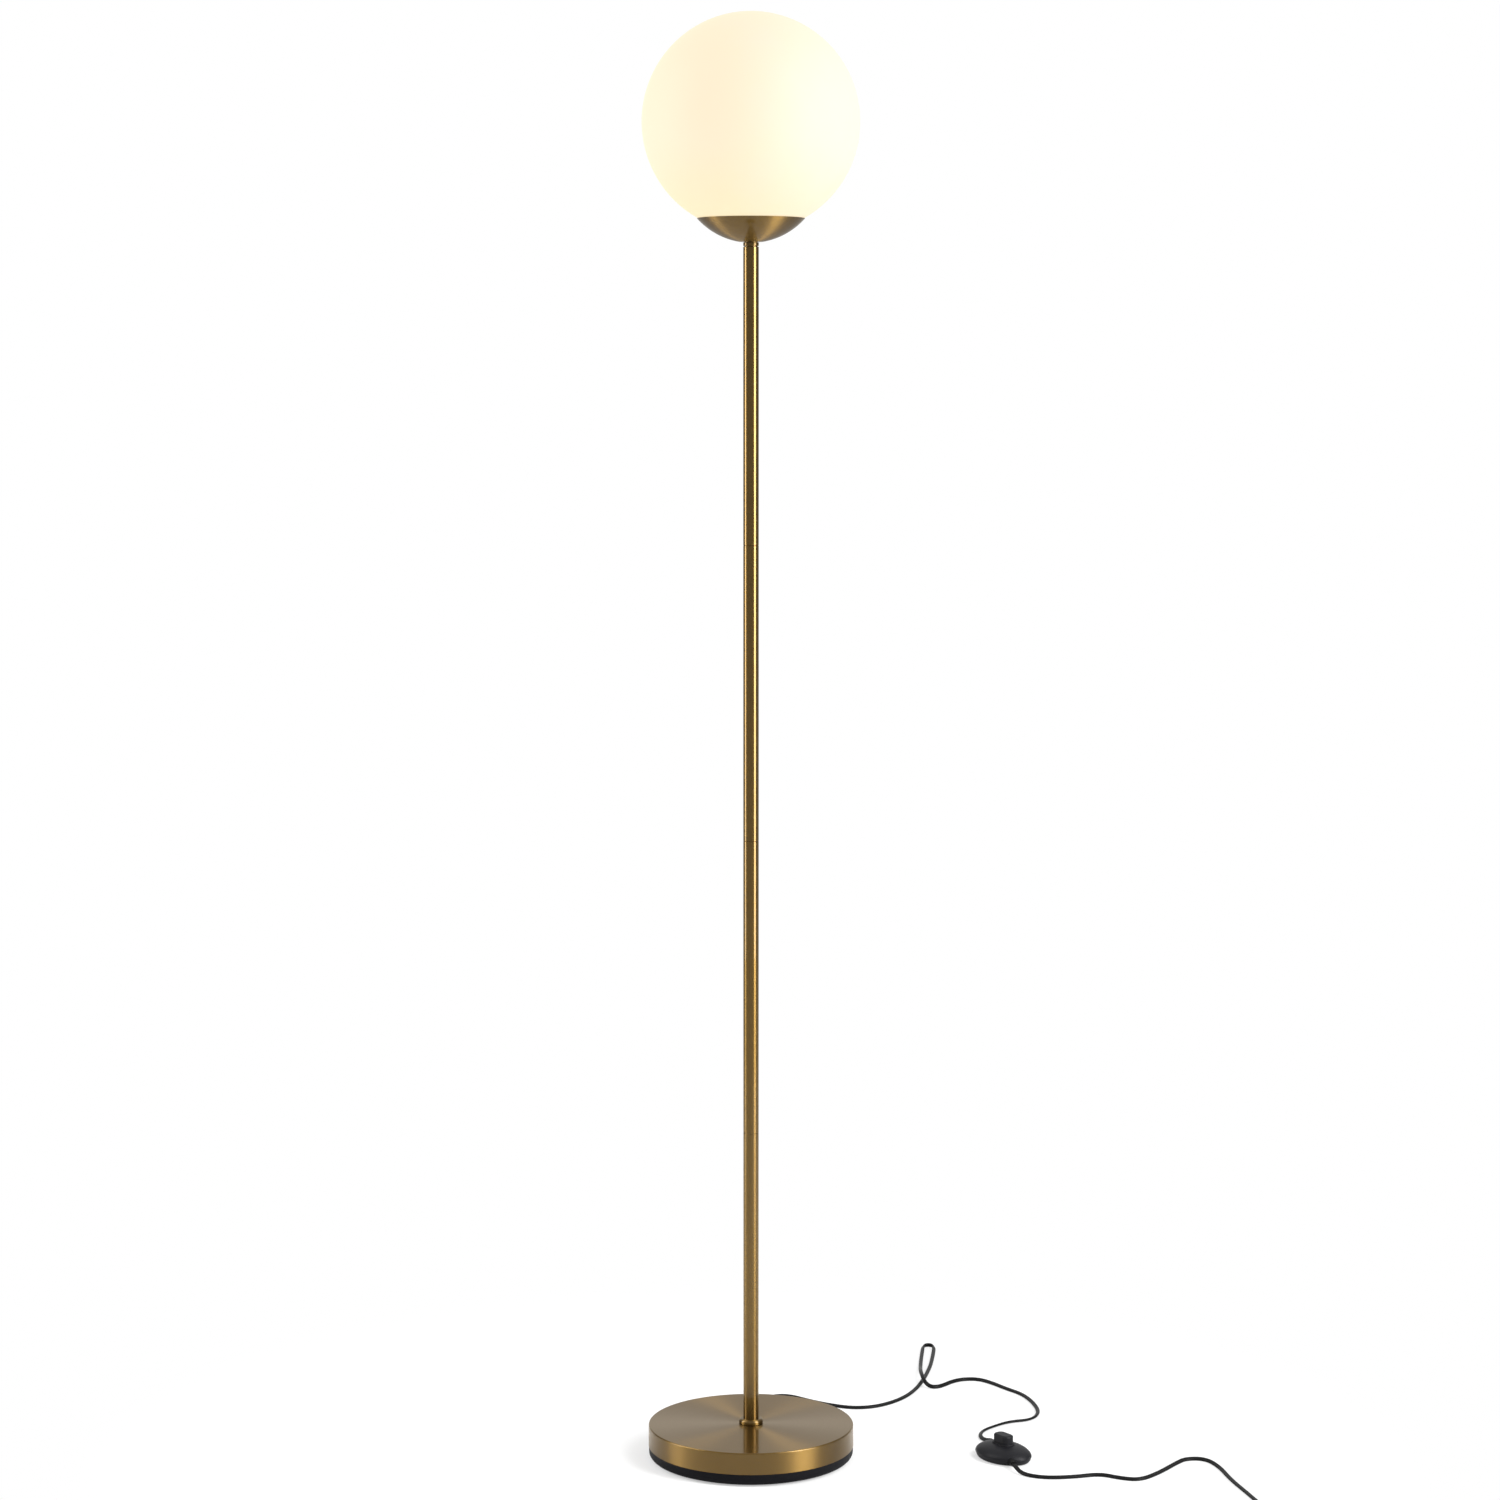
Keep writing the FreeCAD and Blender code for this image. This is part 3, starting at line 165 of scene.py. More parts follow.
class Finish:
    """A node tree under construction, with one way of adding any node."""

    def __init__(self, tree):
        self.tree = tree
        tree.nodes.clear()

    def node(self, kind, settings=None, sockets=None, out=0):
        """Adds a node: its settings first, then its sockets' numbers and links."""
        made = self.tree.nodes.new(kind)
        for name, value in (settings or {}).items():
            if name == "stops":
                self.set_stops(made.color_ramp, value)
            else:
                setattr(made, name, value)
        for name, value in (sockets or {}).items():
            self.feed(made.inputs[name], value)
        return Wire(self, made.outputs[out]) if made.outputs else None

    def feed(self, socket, value):
        if isinstance(value, Wire):
            self.tree.links.new(value.socket, socket)
        elif hasattr(value, "__len__") and socket.type == "RGBA" and len(value) == 3:
            socket.default_value = (*value, 1)
        else:
            socket.default_value = value

    @staticmethod
    def set_stops(ramp, stops):
        """Gives a ramp its greys, each at its position."""
        while len(ramp.elements) < len(stops):
            ramp.elements.new(1)
        for element, (position, grey) in zip(ramp.elements, stops):
            element.position = position
            element.color = (grey, grey, grey, 1)

    def blend(self, factor, first, second):
        """A colour between two others."""
        return self.node(
            "ShaderNodeMix", {"data_type": "RGBA"}, {0: factor, 6: first, 7: second}, out=2
        )

    def noise(self, vector, scale, detail=2.0, roughness=0.5):
        return self.node(
            "ShaderNodeTexNoise",
            {"noise_dimensions": "3D"},
            {"Vector": vector, "Scale": scale, "Detail": detail, "Roughness": roughness},
        )

    def place(self, offset=(0, 0, 0), stretch=(1, 1, 1)):
        """Object coordinates, centred on a place and stretched along the axes."""
        where = self.node("ShaderNodeTexCoord", out=3)
        moved = self.node(
            "ShaderNodeVectorMath", {"operation": "SUBTRACT"}, {0: where, 1: offset}
        )
        return self.node("ShaderNodeVectorMath", {"operation": "MULTIPLY"}, {0: moved, 1: stretch})

    def output(self, wire, name):
        """Another output of the node that a wire comes from."""
        return Wire(self, wire.socket.node.outputs[name])

    def axes(self, vector):
        split = self.node("ShaderNodeSeparateXYZ", sockets={0: vector})
        return [self.output(split, n) for n in range(3)]

    def from_axis(self, x, y, more=0.0):
        """Distance from the Z axis; a little more keeps it from being nothing."""
        squares = x * x + y * y + more if more else x * x + y * y
        return self.node("ShaderNodeMath", {"operation": "SQRT"}, {0: squares})

    def rise(self, value, start, end, low=0.0, high=1.0, smooth=True):
        """A number that goes from low to high as a value goes from start to end."""
        kind = {"interpolation_type": "SMOOTHSTEP"} if smooth else None
        return self.node(
            "ShaderNodeMapRange", kind, {0: value, 1: start, 2: end, 3: low, 4: high}
        )

    def vector(self, x, y, z):
        return self.node("ShaderNodeCombineXYZ", sockets={0: x, 1: y, 2: z})

    def bump(self, height, distance, strength=1.0):
        return self.node(
            "ShaderNodeBump", sockets={"Height": height, "Distance": distance, "Strength": strength}
        )

    def surface(self, **sockets):
        """The Principled shader, fed and joined to the output."""
        shader = self.node(
            "ShaderNodeBsdfPrincipled",
            sockets={name.replace("_", " "): value for name, value in sockets.items()},
        )
        self.node("ShaderNodeOutputMaterial", sockets={"Surface": shader})
        return shader


def finish_name(name):
    """The name of a finish, apart from the plain materials that come with the frame."""
    return f"finish_{name}"


def new_material(name):
    material = bpy.data.materials.new(finish_name(name))
    material.use_nodes = True
    return material, Finish(material.node_tree)


def settings():
    return bpy.context.scene.lamp_finishes


def darker(shade, share):
    """A colour times a share below one."""
    return tuple(share * c for c in shade)


def lighter(shade, share):
    """A colour times a share above one, kept within range."""
    return tuple(min(1.0, share * c) for c in shade)


# ---------------------------------------------------------------------------------------------
# Finishes
# ---------------------------------------------------------------------------------------------
OVER_THE_LAMP = 9.0
BASE_TOP = 38.6 * MM


def spun_brass(name="spun_brass", flat_from=OVER_THE_LAMP):
    """Brass brushed in circles round the lamp's axis, under clear lacquer. Above flat_from the
    brushing is finer."""
    material, finish = new_material(name)
    x, y, z = finish.axes(finish.place())
    finer = finish.rise(z, flat_from, flat_from + 0.6 * MM, smooth=False)
    roughness = 0.43 - finer * 0.12
    radius = finish.from_axis(x, y)
    lines = finish.noise(
        finish.vector(radius * 2600, x * 9, z * 2600), 1.0, detail=3.0, roughness=0.7
    )
    bands = finish.noise(finish.vector(radius * 210, x * 4, z * 210), 1.0)
    cloud = finish.noise(finish.place(), 14.0, detail=3.0, roughness=0.55)
    tone = (lines - 0.5) * 0.20 + (bands - 0.5) * 0.10 + (cloud - 0.5) * 0.14 + 0.5
    dark, light = darker(settings().brass, 0.82), lighter(settings().brass, 1.18)
    finish.surface(
        Base_Color=finish.blend(tone, dark, light),
        Metallic=1.0,
        Roughness=(lines - 0.5) * 0.10 + (cloud - 0.5) * 0.06 + roughness,
        Normal=finish.bump(lines + bands * 0.5, 0.012 * MM, 0.35),
        Anisotropic=0.95,
        Anisotropic_Rotation=0.25,
        Specular_Tint=(1.0, 0.95, 0.86, 1.0),
        Coat_Weight=0.32,
        Coat_Roughness=0.08,
    )
    return material


def drawn_brass():
    """Brass tube brushed along its length, under clear lacquer."""
    material, finish = new_material("drawn_brass")
    x, y, z = finish.axes(finish.place())
    lines = finish.noise(finish.vector(x * 1500, y * 1500, z * 4), 1.0, detail=3.0, roughness=0.7)
    cloud = finish.noise(finish.place(stretch=(1, 1, 0.25)), 40.0, detail=3.0)
    tone = (lines - 0.5) * 0.22 + (cloud - 0.5) * 0.16 + 0.5
    dark, light = darker(settings().brass, 0.84), lighter(settings().brass, 1.16)
    finish.surface(
        Base_Color=finish.blend(tone, dark, light),
        Metallic=1.0,
        Roughness=(lines - 0.5) * 0.08 + (cloud - 0.5) * 0.05 + 0.27,
        Anisotropic=0.9,
        Anisotropic_Rotation=0.25,
        Specular_Tint=(1.0, 0.93, 0.80, 1.0),
        Coat_Weight=0.35,
        Coat_Roughness=0.04,
    )
    return material


def opal_glass():
    """Blown opal glass lit from inside, warmer low down by the cup, with the soft unevenness of
    hand-blown glass and a painted highlight that makes its right side paler.
    """
    material, finish = new_material("opal_glass")
    low_corner, high_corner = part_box("globe_shade")
    place = finish.place(tuple((low_corner + high_corner) / 2))
    x, _, z = finish.axes(place)
    cloud = finish.noise(place, 18.0)
    low = finish.rise(z + (cloud - 0.5) * 0.02, -0.118, -0.02, 1.0, 0.0)
    glow = finish.blend(low * 0.8, settings().glow, settings().glow_low)
    # Painted highlight: the glow blends to a paler colour towards +X, the side the right softbox
    # lights; the noise only adds random unevenness.
    glow_with_painted_highlight = finish.blend((cloud - 0.35) * 0.4 + x * 2.6, glow, (0.90, 0.77, 0.73))
    finish.surface(
        Base_Color=(0.12, 0.115, 0.10),
        Roughness=0.6,
        Specular_IOR_Level=0.12,
        Emission_Color=glow_with_painted_highlight,
        Emission_Strength=0.86,
    )
    return material


def moulded(name, shade, roughness, grain=900.0, depth=0.04 * MM, specular=0.5):
    """Moulded plastic or rubber with a fine matt grain."""
    material, finish = new_material(name)
    place = finish.place()
    fine = finish.noise(place, grain, roughness=0.6)
    cloud = finish.noise(place, 26.0, detail=3.0)
    dark, light = darker(shade, 0.8), lighter(shade, 1.25)
    finish.surface(
        Base_Color=finish.blend((fine - 0.5) * 0.5 + (cloud - 0.5) * 0.4 + 0.5, dark, light),
        Roughness=(fine - 0.5) * 0.16 + (cloud - 0.5) * 0.10 + roughness,
        Normal=finish.bump(fine, depth, 0.5),
        Specular_IOR_Level=specular,
    )
    return material


def machined(name, shade, roughness=0.28):
    """Plated or bare metal with faint turning marks."""
    material, finish = new_material(name)
    place = finish.place()
    x, y, z = finish.axes(place)
    marks = finish.noise(finish.vector(x * 60, y * 60, z * 2400), 1.0)
    cloud = finish.noise(place, 90.0, detail=3.0)
    tone = (marks - 0.5) * 0.4 + (cloud - 0.5) * 0.5 + 0.5
    finish.surface(
        Base_Color=finish.blend(tone, darker(shade, 0.8), shade),
        Metallic=1.0,
        Roughness=(marks - 0.5) * 0.2 + (cloud - 0.5) * 0.15 + roughness,
        Normal=finish.bump(marks, 0.01 * MM, 0.4),
    )
    return material


def cast_iron():
    """Sand-cast iron with a little rust."""
    material, finish = new_material("cast_iron")
    place = finish.place()
    sand = finish.noise(place, 420.0, detail=4.0, roughness=0.65)
    rust = finish.noise(place, 30.0, detail=4.0)
    finish.surface(
        Base_Color=finish.blend((rust - 0.45) * 1.6, (0.10, 0.10, 0.10), (0.17, 0.10, 0.06)),
        Metallic=0.7,
        Roughness=(sand - 0.5) * 0.3 + 0.62,
        Normal=finish.bump(sand, 0.4 * MM, 0.6),
    )
    return material


def foam():
    """Closed-cell foam."""
    material, finish = new_material("foam_black")
    place = finish.place()
    cells = finish.node(
        "ShaderNodeTexVoronoi", {"feature": "F1"}, {"Vector": place, "Scale": 700.0}
    )
    finish.surface(
        Base_Color=finish.blend(cells, (0.05, 0.05, 0.05), (0.02, 0.02, 0.02)),
        Roughness=0.85,
        Normal=finish.bump(cells, 0.2 * MM, 0.6),
    )
    return material


def finish_of_slots():
    """One material for each of the record's slots."""
    black = settings().black
    sleek = 0.01 * MM
    return {
        "brass": spun_brass(),
        "black_plastic": moulded("black_plastic", black, 0.45, specular=0.14),
        "pan_black": moulded("pan_black", darker(black, 0.7), 0.5, grain=700.0, specular=0.06),
        "cord_black": moulded(
            "cord_black", settings().cord, 0.36, grain=1500.0, depth=sleek, specular=0.08
        ),
        "foam_black": foam(),
        "cast_iron": cast_iron(),
        "zinc_steel": machined("zinc_steel", (0.55, 0.55, 0.52)),
        "spring_steel": machined("spring_steel", (0.50, 0.50, 0.50), 0.2),
        "opal_glass": opal_glass(),
        "holder_white": moulded("holder_white", (0.70, 0.69, 0.66), 0.3, depth=sleek),
        "silicone": moulded("silicone", (0.62, 0.62, 0.60), 0.4, depth=2 * sleek),
        "bulb_body": moulded("bulb_body", (0.74, 0.74, 0.72), 0.3, depth=sleek),
        "bulb_opal": moulded("bulb_opal", (0.85, 0.83, 0.78), 0.35, depth=sleek),
        "nickel": machined("nickel", (0.66, 0.63, 0.58), 0.16),
        "contact_brass": machined("contact_brass", (0.62, 0.45, 0.20), 0.25),
        "led_board": moulded("led_board", (0.78, 0.78, 0.75), 0.35),
    }


def dress(node, material):
    """Gives a CAD node's own mesh another material."""
    for slot in NODES[node].material_slots:
        slot.material = material


# ---------------------------------------------------------------------------------------------
# The cord's route, in metres: the same points as the tubes have
# ---------------------------------------------------------------------------------------------
FLOOR_Z = 2.6 * MM
CREST_Z = 10.6 * MM

TO_SWITCH = [
    (0.0, 0.1411, 0.0082),
    (0.0, 0.158, 0.0082),
    (0.002, 0.178, 0.0046),
    (0.008, 0.203, FLOOR_Z),
    (0.020, 0.234, FLOOR_Z),
    (0.045, 0.242, FLOOR_Z),
    (0.072, 0.217, FLOOR_Z),
    (0.098, 0.199, FLOOR_Z),
    (0.128, 0.186, FLOOR_Z),
    (0.158, 0.195, FLOOR_Z),
    (0.187, 0.226, FLOOR_Z),
    (0.206, 0.267, FLOOR_Z),
    (0.219, 0.317, FLOOR_Z),
    (0.2295, 0.372, FLOOR_Z),
    (0.235, 0.419, FLOOR_Z),
    (0.2374, 0.443, FLOOR_Z),
    (0.2383, 0.455, FLOOR_Z),
    (0.2378, 0.4632, FLOOR_Z),
    (0.2348, 0.4687, FLOOR_Z),
    (0.2288, 0.469, FLOOR_Z),
    (0.2252, 0.4636, FLOOR_Z),
    (0.2238, 0.455, FLOOR_Z),
    (0.2224, 0.440, FLOOR_Z),
    (0.2202, 0.416, FLOOR_Z),
    (0.2176, 0.384, FLOOR_Z),
    (0.216, 0.356, 0.0048),
    (0.215, 0.334, 0.0092),
    (0.2146, 0.322, CREST_Z),
    (0.2154, 0.299, CREST_Z),
    (0.2182, 0.282, 0.0066),
    (0.2245, 0.275, 0.0032),
    (0.2335, 0.2765, FLOOR_Z),
    (0.242, 0.285, FLOOR_Z),
    (0.253, 0.301, FLOOR_Z),
    (0.268, 0.312, FLOOR_Z),
    (0.287, 0.312, FLOOR_Z),
    (0.302, 0.297, FLOOR_Z),
    (0.319, 0.2705, FLOOR_Z),
    (0.338, 0.246, FLOOR_Z),
    (0.349, 0.206, FLOOR_Z),
    (0.352, 0.166, FLOOR_Z),
    (0.340, 0.137, FLOOR_Z),
    (0.312, 0.130, FLOOR_Z),
    (0.288, 0.106, FLOOR_Z),
    (0.2775, 0.091, FLOOR_Z),
    (0.2736, 0.075, FLOOR_Z),
    (0.2746, 0.0615, FLOOR_Z),
    (0.2792, 0.051, 0.0038),
    (0.28538, 0.0412, 0.0066),
    (0.2869, 0.03331, 0.0066),
]

TO_COIL = [
    (0.3039, -0.05411, 0.0066),
    (0.3058, -0.0639, 0.0066),
    (0.3105, -0.074, 0.0036),
    (0.321, -0.083, FLOOR_Z),
    (0.341, -0.090, FLOOR_Z),
    (0.372, -0.0865, FLOOR_Z),
    (0.402, -0.076, FLOOR_Z),
    (0.424, -0.092, FLOOR_Z),
    (0.446, -0.098, FLOOR_Z),
    (0.470, -0.072, FLOOR_Z),
    (0.494, -0.036, FLOOR_Z),
    (0.508, -0.018, FLOOR_Z),
    (0.531, -0.019, FLOOR_Z),
    (0.543, -0.048, FLOOR_Z),
    (0.550, -0.097, FLOOR_Z),
    (0.562, -0.146, FLOOR_Z),
    (0.573, -0.196, FLOOR_Z),
    (0.573, -0.240, FLOOR_Z),
]

COIL_TURNS_DOWN = 2.0
COIL_CLIMB = 0.5
COIL_TURNS_UP = 1.75
COIL_LEAD_IN = 5.0 * MM
COIL_TO_PLUG = 0.2  # turns over which the cord rises to the plug
PLUG_MOUTH = Vector((0.5287, -0.273925, 0.0081))
CLEAR_OF_FLOOR = 0.15 * MM
TIGHT_BEND = 60.0  # radians a metre, at which the flat cord stands fully on its edge
ON_EDGE = math.radians(90)
SWEPT_SMOOTH = math.radians(60)
TIE_THICKNESS = 0.6 * MM
TIE_WIDTH = 6.0 * MM


def coil_middle(sizes):
    """Where the coil's axis stands: its outermost turn starts just past the last route point."""
    return TO_COIL[-1][0] - sizes.coil_radius, TO_COIL[-1][1] - COIL_LEAD_IN


def coil_turns(sizes):
    """The put-away coil: two layers of flat turns, in and out again, and up to the plug."""
    turns = COIL_TURNS_DOWN + COIL_CLIMB + COIL_TURNS_UP
    middle_x, middle_y = coil_middle(sizes)
    low = sizes.core + TIE_THICKNESS + CLEAR_OF_FLOOR
    back = COIL_TURNS_DOWN + COIL_CLIMB / 2
    steps = round(turns * sizes.coil_points)
    points = []
    for step in range(steps + 1):
        t = turns * step / steps
        radius = sizes.coil_radius - sizes.coil_pitch * (back - abs(t - back))
        share = min(max((t - COIL_TURNS_DOWN) / COIL_CLIMB, 0), 1)
        rise = sizes.coil_layer * (1 - math.cos(math.pi * share)) / 2
        to_plug = max(0.0, t - (turns - COIL_TO_PLUG)) / COIL_TO_PLUG
        height = low + rise
        height += (PLUG_MOUTH.z - height) * to_plug**2 * (3 - 2 * to_plug)
        angle = -math.tau * t
        points.append(
            (middle_x + radius * math.cos(angle), middle_y + radius * math.sin(angle), height)
        )
    return points + [tuple((PLUG_MOUTH + Vector(points[-1])) / 2), tuple(PLUG_MOUTH)]


# ---------------------------------------------------------------------------------------------
# Making pieces
# ---------------------------------------------------------------------------------------------
SAME_PLACE = 0.0001 * MM  # points closer than this are one


def show(name, mesh, body, material):
    """Puts a finished mesh in the scene, on the body that carries it."""
    piece = bpy.data.objects.new(name, mesh)
    bpy.context.scene.collection.objects.link(piece)
    mesh.materials.clear()
    mesh.materials.append(material)
    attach(piece, body)
    return piece


def mesh_of(shape, name, smooth_angle=math.radians(40)):
    """Turns a bmesh into a mesh with rounded shading across its shallow edges."""
    bmesh.ops.remove_doubles(shape, verts=shape.verts, dist=SAME_PLACE)
    bmesh.ops.recalc_face_normals(shape, faces=shape.faces)
    mesh = bpy.data.meshes.new(name)
    shape.to_mesh(mesh)
    shape.free()
    mesh.shade_smooth()
    mesh.set_sharp_from_angle(angle=smooth_angle)
    return mesh


def flat_twin_outline(sizes):
    """The cord's section: two round cores side by side, joined at a waist."""
    outline = bpy.data.curves.new("flat_twin_outline", "CURVE")
    outline.dimensions = "2D"
    offset = sizes.width / 2 - sizes.core
    waist = math.acos(offset / sizes.core)
    half_arc = math.pi - waist
    per_side = 11
    places = []
    for side, centre in ((0, offset), (math.pi, -offset)):
        for n in range(per_side):
            angle = side - half_arc + 2 * half_arc * n / (per_side - 1)
            places.append((centre + sizes.core * math.cos(angle), sizes.core * math.sin(angle)))
    spline = outline.splines.new("POLY")
    spline.points.add(len(places) - 1)
    for point, (x, y) in zip(spline.points, places):
        point.co = (x, y, 0, 1)
    spline.use_cyclic_u = True
    guide = bpy.data.objects.new("flat_twin_outline", outline)
    bpy.context.scene.collection.objects.link(guide)
    return guide


def bends(points):
    """How much the route bends at each point: its turn over the length of its two half runs."""
    result = [0.0]
    for before, corner, after in zip(points, points[1:], points[2:]):
        into = Vector(corner[:2]) - Vector(before[:2])
        away = Vector(after[:2]) - Vector(corner[:2])
        result.append(into.angle(away) / (into.length + away.length) * 2)
    return result + [0.0]


def eased(values, rounds=3):
    """The same numbers, each drawn towards its neighbours."""
    for _ in range(rounds):
        inner = [(a + 2 * b + c) / 4 for a, b, c in zip(values, values[1:], values[2:])]
        values = [values[0], *inner, values[-1]]
    return values


def cord_line(points, rolls, name):
    """A route's smooth line as a curve; each point's roll turns the flat section on its edge."""
    curve = bpy.data.curves.new(name, "CURVE")
    curve.dimensions = "3D"
    curve.twist_mode = "Z_UP"
    spline = curve.splines.new("NURBS")
    spline.points.add(len(points) - 1)
    for point, place, roll in zip(spline.points, points, rolls):
        point.co = (*place, 1)
        point.tilt = roll
    spline.order_u = 3
    spline.use_endpoint_u = True
    spline.resolution_u = 6
    holder = bpy.data.objects.new(name, curve)
    bpy.context.scene.collection.objects.link(holder)
    return holder


def swept(holder):
    """The surface of a curve that has a section, as a bmesh; the curve goes."""
    scene_now = bpy.context.evaluated_depsgraph_get()
    mesh = bpy.data.meshes.new_from_object(holder.evaluated_get(scene_now), depsgraph=scene_now)
    bpy.data.objects.remove(holder)
    shape = bmesh.new()
    shape.from_mesh(mesh)
    bpy.data.meshes.remove(mesh)
    return shape


def lay_flat_twin(name, points, level_from, sizes, outline, material):
    """Sweeps the flat section along a route. It lies flat where the route is gentle and stands on
    its edge in the tight bends, which a flat cord can't take the other way. From the point
    numbered level_from it keeps the route's own height and stays flat."""
    on_edge = [min(1.0, bend / TIGHT_BEND) for bend in bends(points)]
    on_edge = [0.0 if n >= level_from else share for n, share in enumerate(on_edge)]
    rolls = [ON_EDGE * share for share in eased(on_edge)]
    half_flat = sizes.width / 2 - sizes.core
    lowered = []
    for n, ((x, y, z), roll) in enumerate(zip(points, rolls)):
        rest = sizes.core + half_flat * math.sin(roll) + CLEAR_OF_FLOOR
        held = n in (0, 1, len(points) - 2, len(points) - 1) or n >= level_from
        lowered.append((x, y, z if held else z - FLOOR_Z + rest))
    holder = cord_line(lowered, rolls, name + "_line")
    path = [tuple(v.co) for v in bpy.data.meshes.new_from_object(holder).vertices]
    holder.data.bevel_mode = "OBJECT"
    holder.data.bevel_object = outline
    holder.data.use_fill_caps = True
    piece = show(name, mesh_of(swept(holder), name, SWEPT_SMOOTH), "stand", material)
    return piece, path


# ---------------------------------------------------------------------------------------------
# Operators
# ---------------------------------------------------------------------------------------------
SPRING_WIRE = 0.3 * MM  # radius
SPRING_TURNS = 3
SPRING_POINTS = 16  # in one turn
TIE_CORNER = 2.2 * MM
TIE_PLAY = 0.3 * MM
BUCKLE_LENGTH = 5.5 * MM
BUCKLE_HEIGHT = 1.8 * MM


class LAMP_OT_finish_nodes(bpy.types.Operator):
    """Give every turned, moulded and hidden piece of the lamp its finish"""

    bl_idname = "lamp.finish_nodes"
    bl_label = "Finish the pieces"

    def execute(self, context):
        finishes = finish_of_slots()
        for subpart in frame["record"]["subparts"]:
            dress(subpart["node"], finishes[subpart["material_slot"]])
        dress("base_cover", spun_brass("spun_base", flat_from=BASE_TOP))
        tube = drawn_brass()
        for n in range(4):
            dress(f"pole_section_{n + 1}", tube)
        return {"FINISHED"}


class LAMP_OT_lay_cord(bpy.types.Operator):
    """Lay the flat twin cord from the base to the foot switch and on to its coil and plug"""

    bl_idname = "lamp.lay_cord"
    bl_label = "Cord"

    def execute(self, context):
        sizes = context.scene.lamp_cord
        material = bpy.data.materials[finish_name("cord_black")]
        outline = flat_twin_outline(sizes)
        first, path = lay_flat_twin(
            "cord_to_switch_flex", TO_SWITCH, len(TO_SWITCH), sizes, outline, material
        )
        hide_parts("cord_to_switch")
        route = TO_COIL + coil_turns(sizes)
        second, path = lay_flat_twin(
            "cord_to_plug_flex", route, len(TO_COIL), sizes, outline, material
        )
        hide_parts("cord_to_coil", "cord_coil")
        bpy.data.objects.remove(outline)
        return {"FINISHED"}


class LAMP_OT_wind_spring(bpy.types.Operator):
    """Wind the foot switch's return spring at its rest length; the real one flattens as the button
    goes down
    """

    bl_idname = "lamp.wind_spring"
    bl_label = "Button spring"

    def execute(self, context):
        low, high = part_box("button_spring")
        middle = (low + high) / 2
        mean = (high[0] - low[0]) / 2 - SPRING_WIRE
        bottom, top = low[2] + SPRING_WIRE, high[2] - SPRING_WIRE
        last = SPRING_TURNS * SPRING_POINTS
        winding = []
        for n in range(last + 1):
            angle = math.tau * n / SPRING_POINTS
            height = bottom + (top - bottom) * n / last
            winding.append(
                (middle[0] + mean * math.cos(angle), middle[1] + mean * math.sin(angle), height)
            )
        holder = cord_line(winding, [0.0] * len(winding), "spring_line")
        holder.data.bevel_depth = SPRING_WIRE
        holder.data.use_fill_caps = True
        mesh = mesh_of(swept(holder), "return_spring", SWEPT_SMOOTH)
        steel = bpy.data.materials[finish_name("spring_steel")]
        spring = show("return_spring", mesh, "stand", steel)
        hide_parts("button_spring")
        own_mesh(spring)
        return {"FINISHED"}


class LAMP_OT_tie_coil(bpy.types.Operator):
    """Hold the put-away coil with a strap and its buckle"""

    bl_idname = "lamp.tie_coil"
    bl_label = "Coil tie"

    def execute(self, context):
        sizes = context.scene.lamp_cord
        middle_x, middle_y = coil_middle(sizes)
        inside = sizes.coil_radius - 2.1 * sizes.coil_pitch - sizes.width / 2
        outside = sizes.coil_radius - 0.4 * sizes.coil_pitch + sizes.width / 2
        top = 2 * sizes.core + sizes.coil_layer + TIE_THICKNESS + 0.6 * MM
        across = (middle_x - outside - TIE_PLAY, middle_x - inside + TIE_PLAY)
        upright = (TIE_THICKNESS + 0.05 * MM, top)
        material = tie_material()
        strap = bmesh.new()
        for grown, flipped in ((0.0, True), (TIE_THICKNESS, False)):
            add_strap_skin(strap, across, upright, middle_y, grown, flipped)
        bmesh.ops.bridge_loops(strap, edges=[edge for edge in strap.edges if edge.is_boundary])
        tie = show("coil_tie", mesh_of(strap, "coil_tie"), "stand", material)
        buckle = bmesh.new()
        bmesh.ops.create_cube(
            buckle, size=1,
            matrix=Matrix.Translation((sum(across) / 2, middle_y, top + TIE_THICKNESS + 0.7 * MM))
            @ Matrix.Diagonal((BUCKLE_LENGTH, TIE_WIDTH + 1.6 * MM, BUCKLE_HEIGHT, 1)),
        )
        bmesh.ops.bevel(
            buckle, geom=buckle.edges[:], offset=0.5 * MM, segments=3, affect="EDGES",
            profile=0.5, material=-1,
        )
        head = show("coil_tie_buckle", mesh_of(buckle, "coil_tie_buckle"), "stand", material)
        return {"FINISHED"}


def tie_material():
    """Ribbed nylon strap."""
    material, finish = new_material("tie_nylon")
    _, y, _ = finish.axes(finish.place())
    ribs = finish.node("ShaderNodeMath", {"operation": "SINE"}, {0: y * 9000})
    fine = finish.noise(finish.place(), 1200.0)
    finish.surface(
        Base_Color=finish.blend(fine, (0.010, 0.010, 0.012), (0.020, 0.020, 0.022)),
        Roughness=(fine - 0.5) * 0.2 + 0.42,
        Normal=finish.bump(ribs * 0.5 + fine, 0.04 * MM, 0.5),
        Specular_IOR_Level=0.2,
    )
    return material


def add_strap_skin(shape, across, upright, middle_y, grown, flipped):
    """One skin of a strap: a round-cornered loop about the bundle, as wide as the strap."""
    left, right = across[0] - grown, across[1] + grown
    low, high = upright[0] - grown, upright[1] + grown
    corner = TIE_CORNER + grown
    centres = (
        (right - corner, high - corner), (left + corner, high - corner),
        (left + corner, low + corner), (right - corner, low + corner),
    )
    steps = 6
    loop = [
        (cx + corner * math.cos(turn), cz + corner * math.sin(turn))
        for quarter, (cx, cz) in enumerate(centres)
        for turn in [math.pi / 2 * (quarter + n / steps) for n in range(steps + 1)]
    ]
    sides = [
        [shape.verts.new((x, middle_y + side * TIE_WIDTH / 2, z)) for x, z in loop]
        for side in (-1, 1)
    ]
    for n in range(len(loop)):
        after = (n + 1) % len(loop)
        face = [sides[0][n], sides[0][after], sides[1][after], sides[1][n]]
        shape.faces.new(face[::-1] if flipped else face)


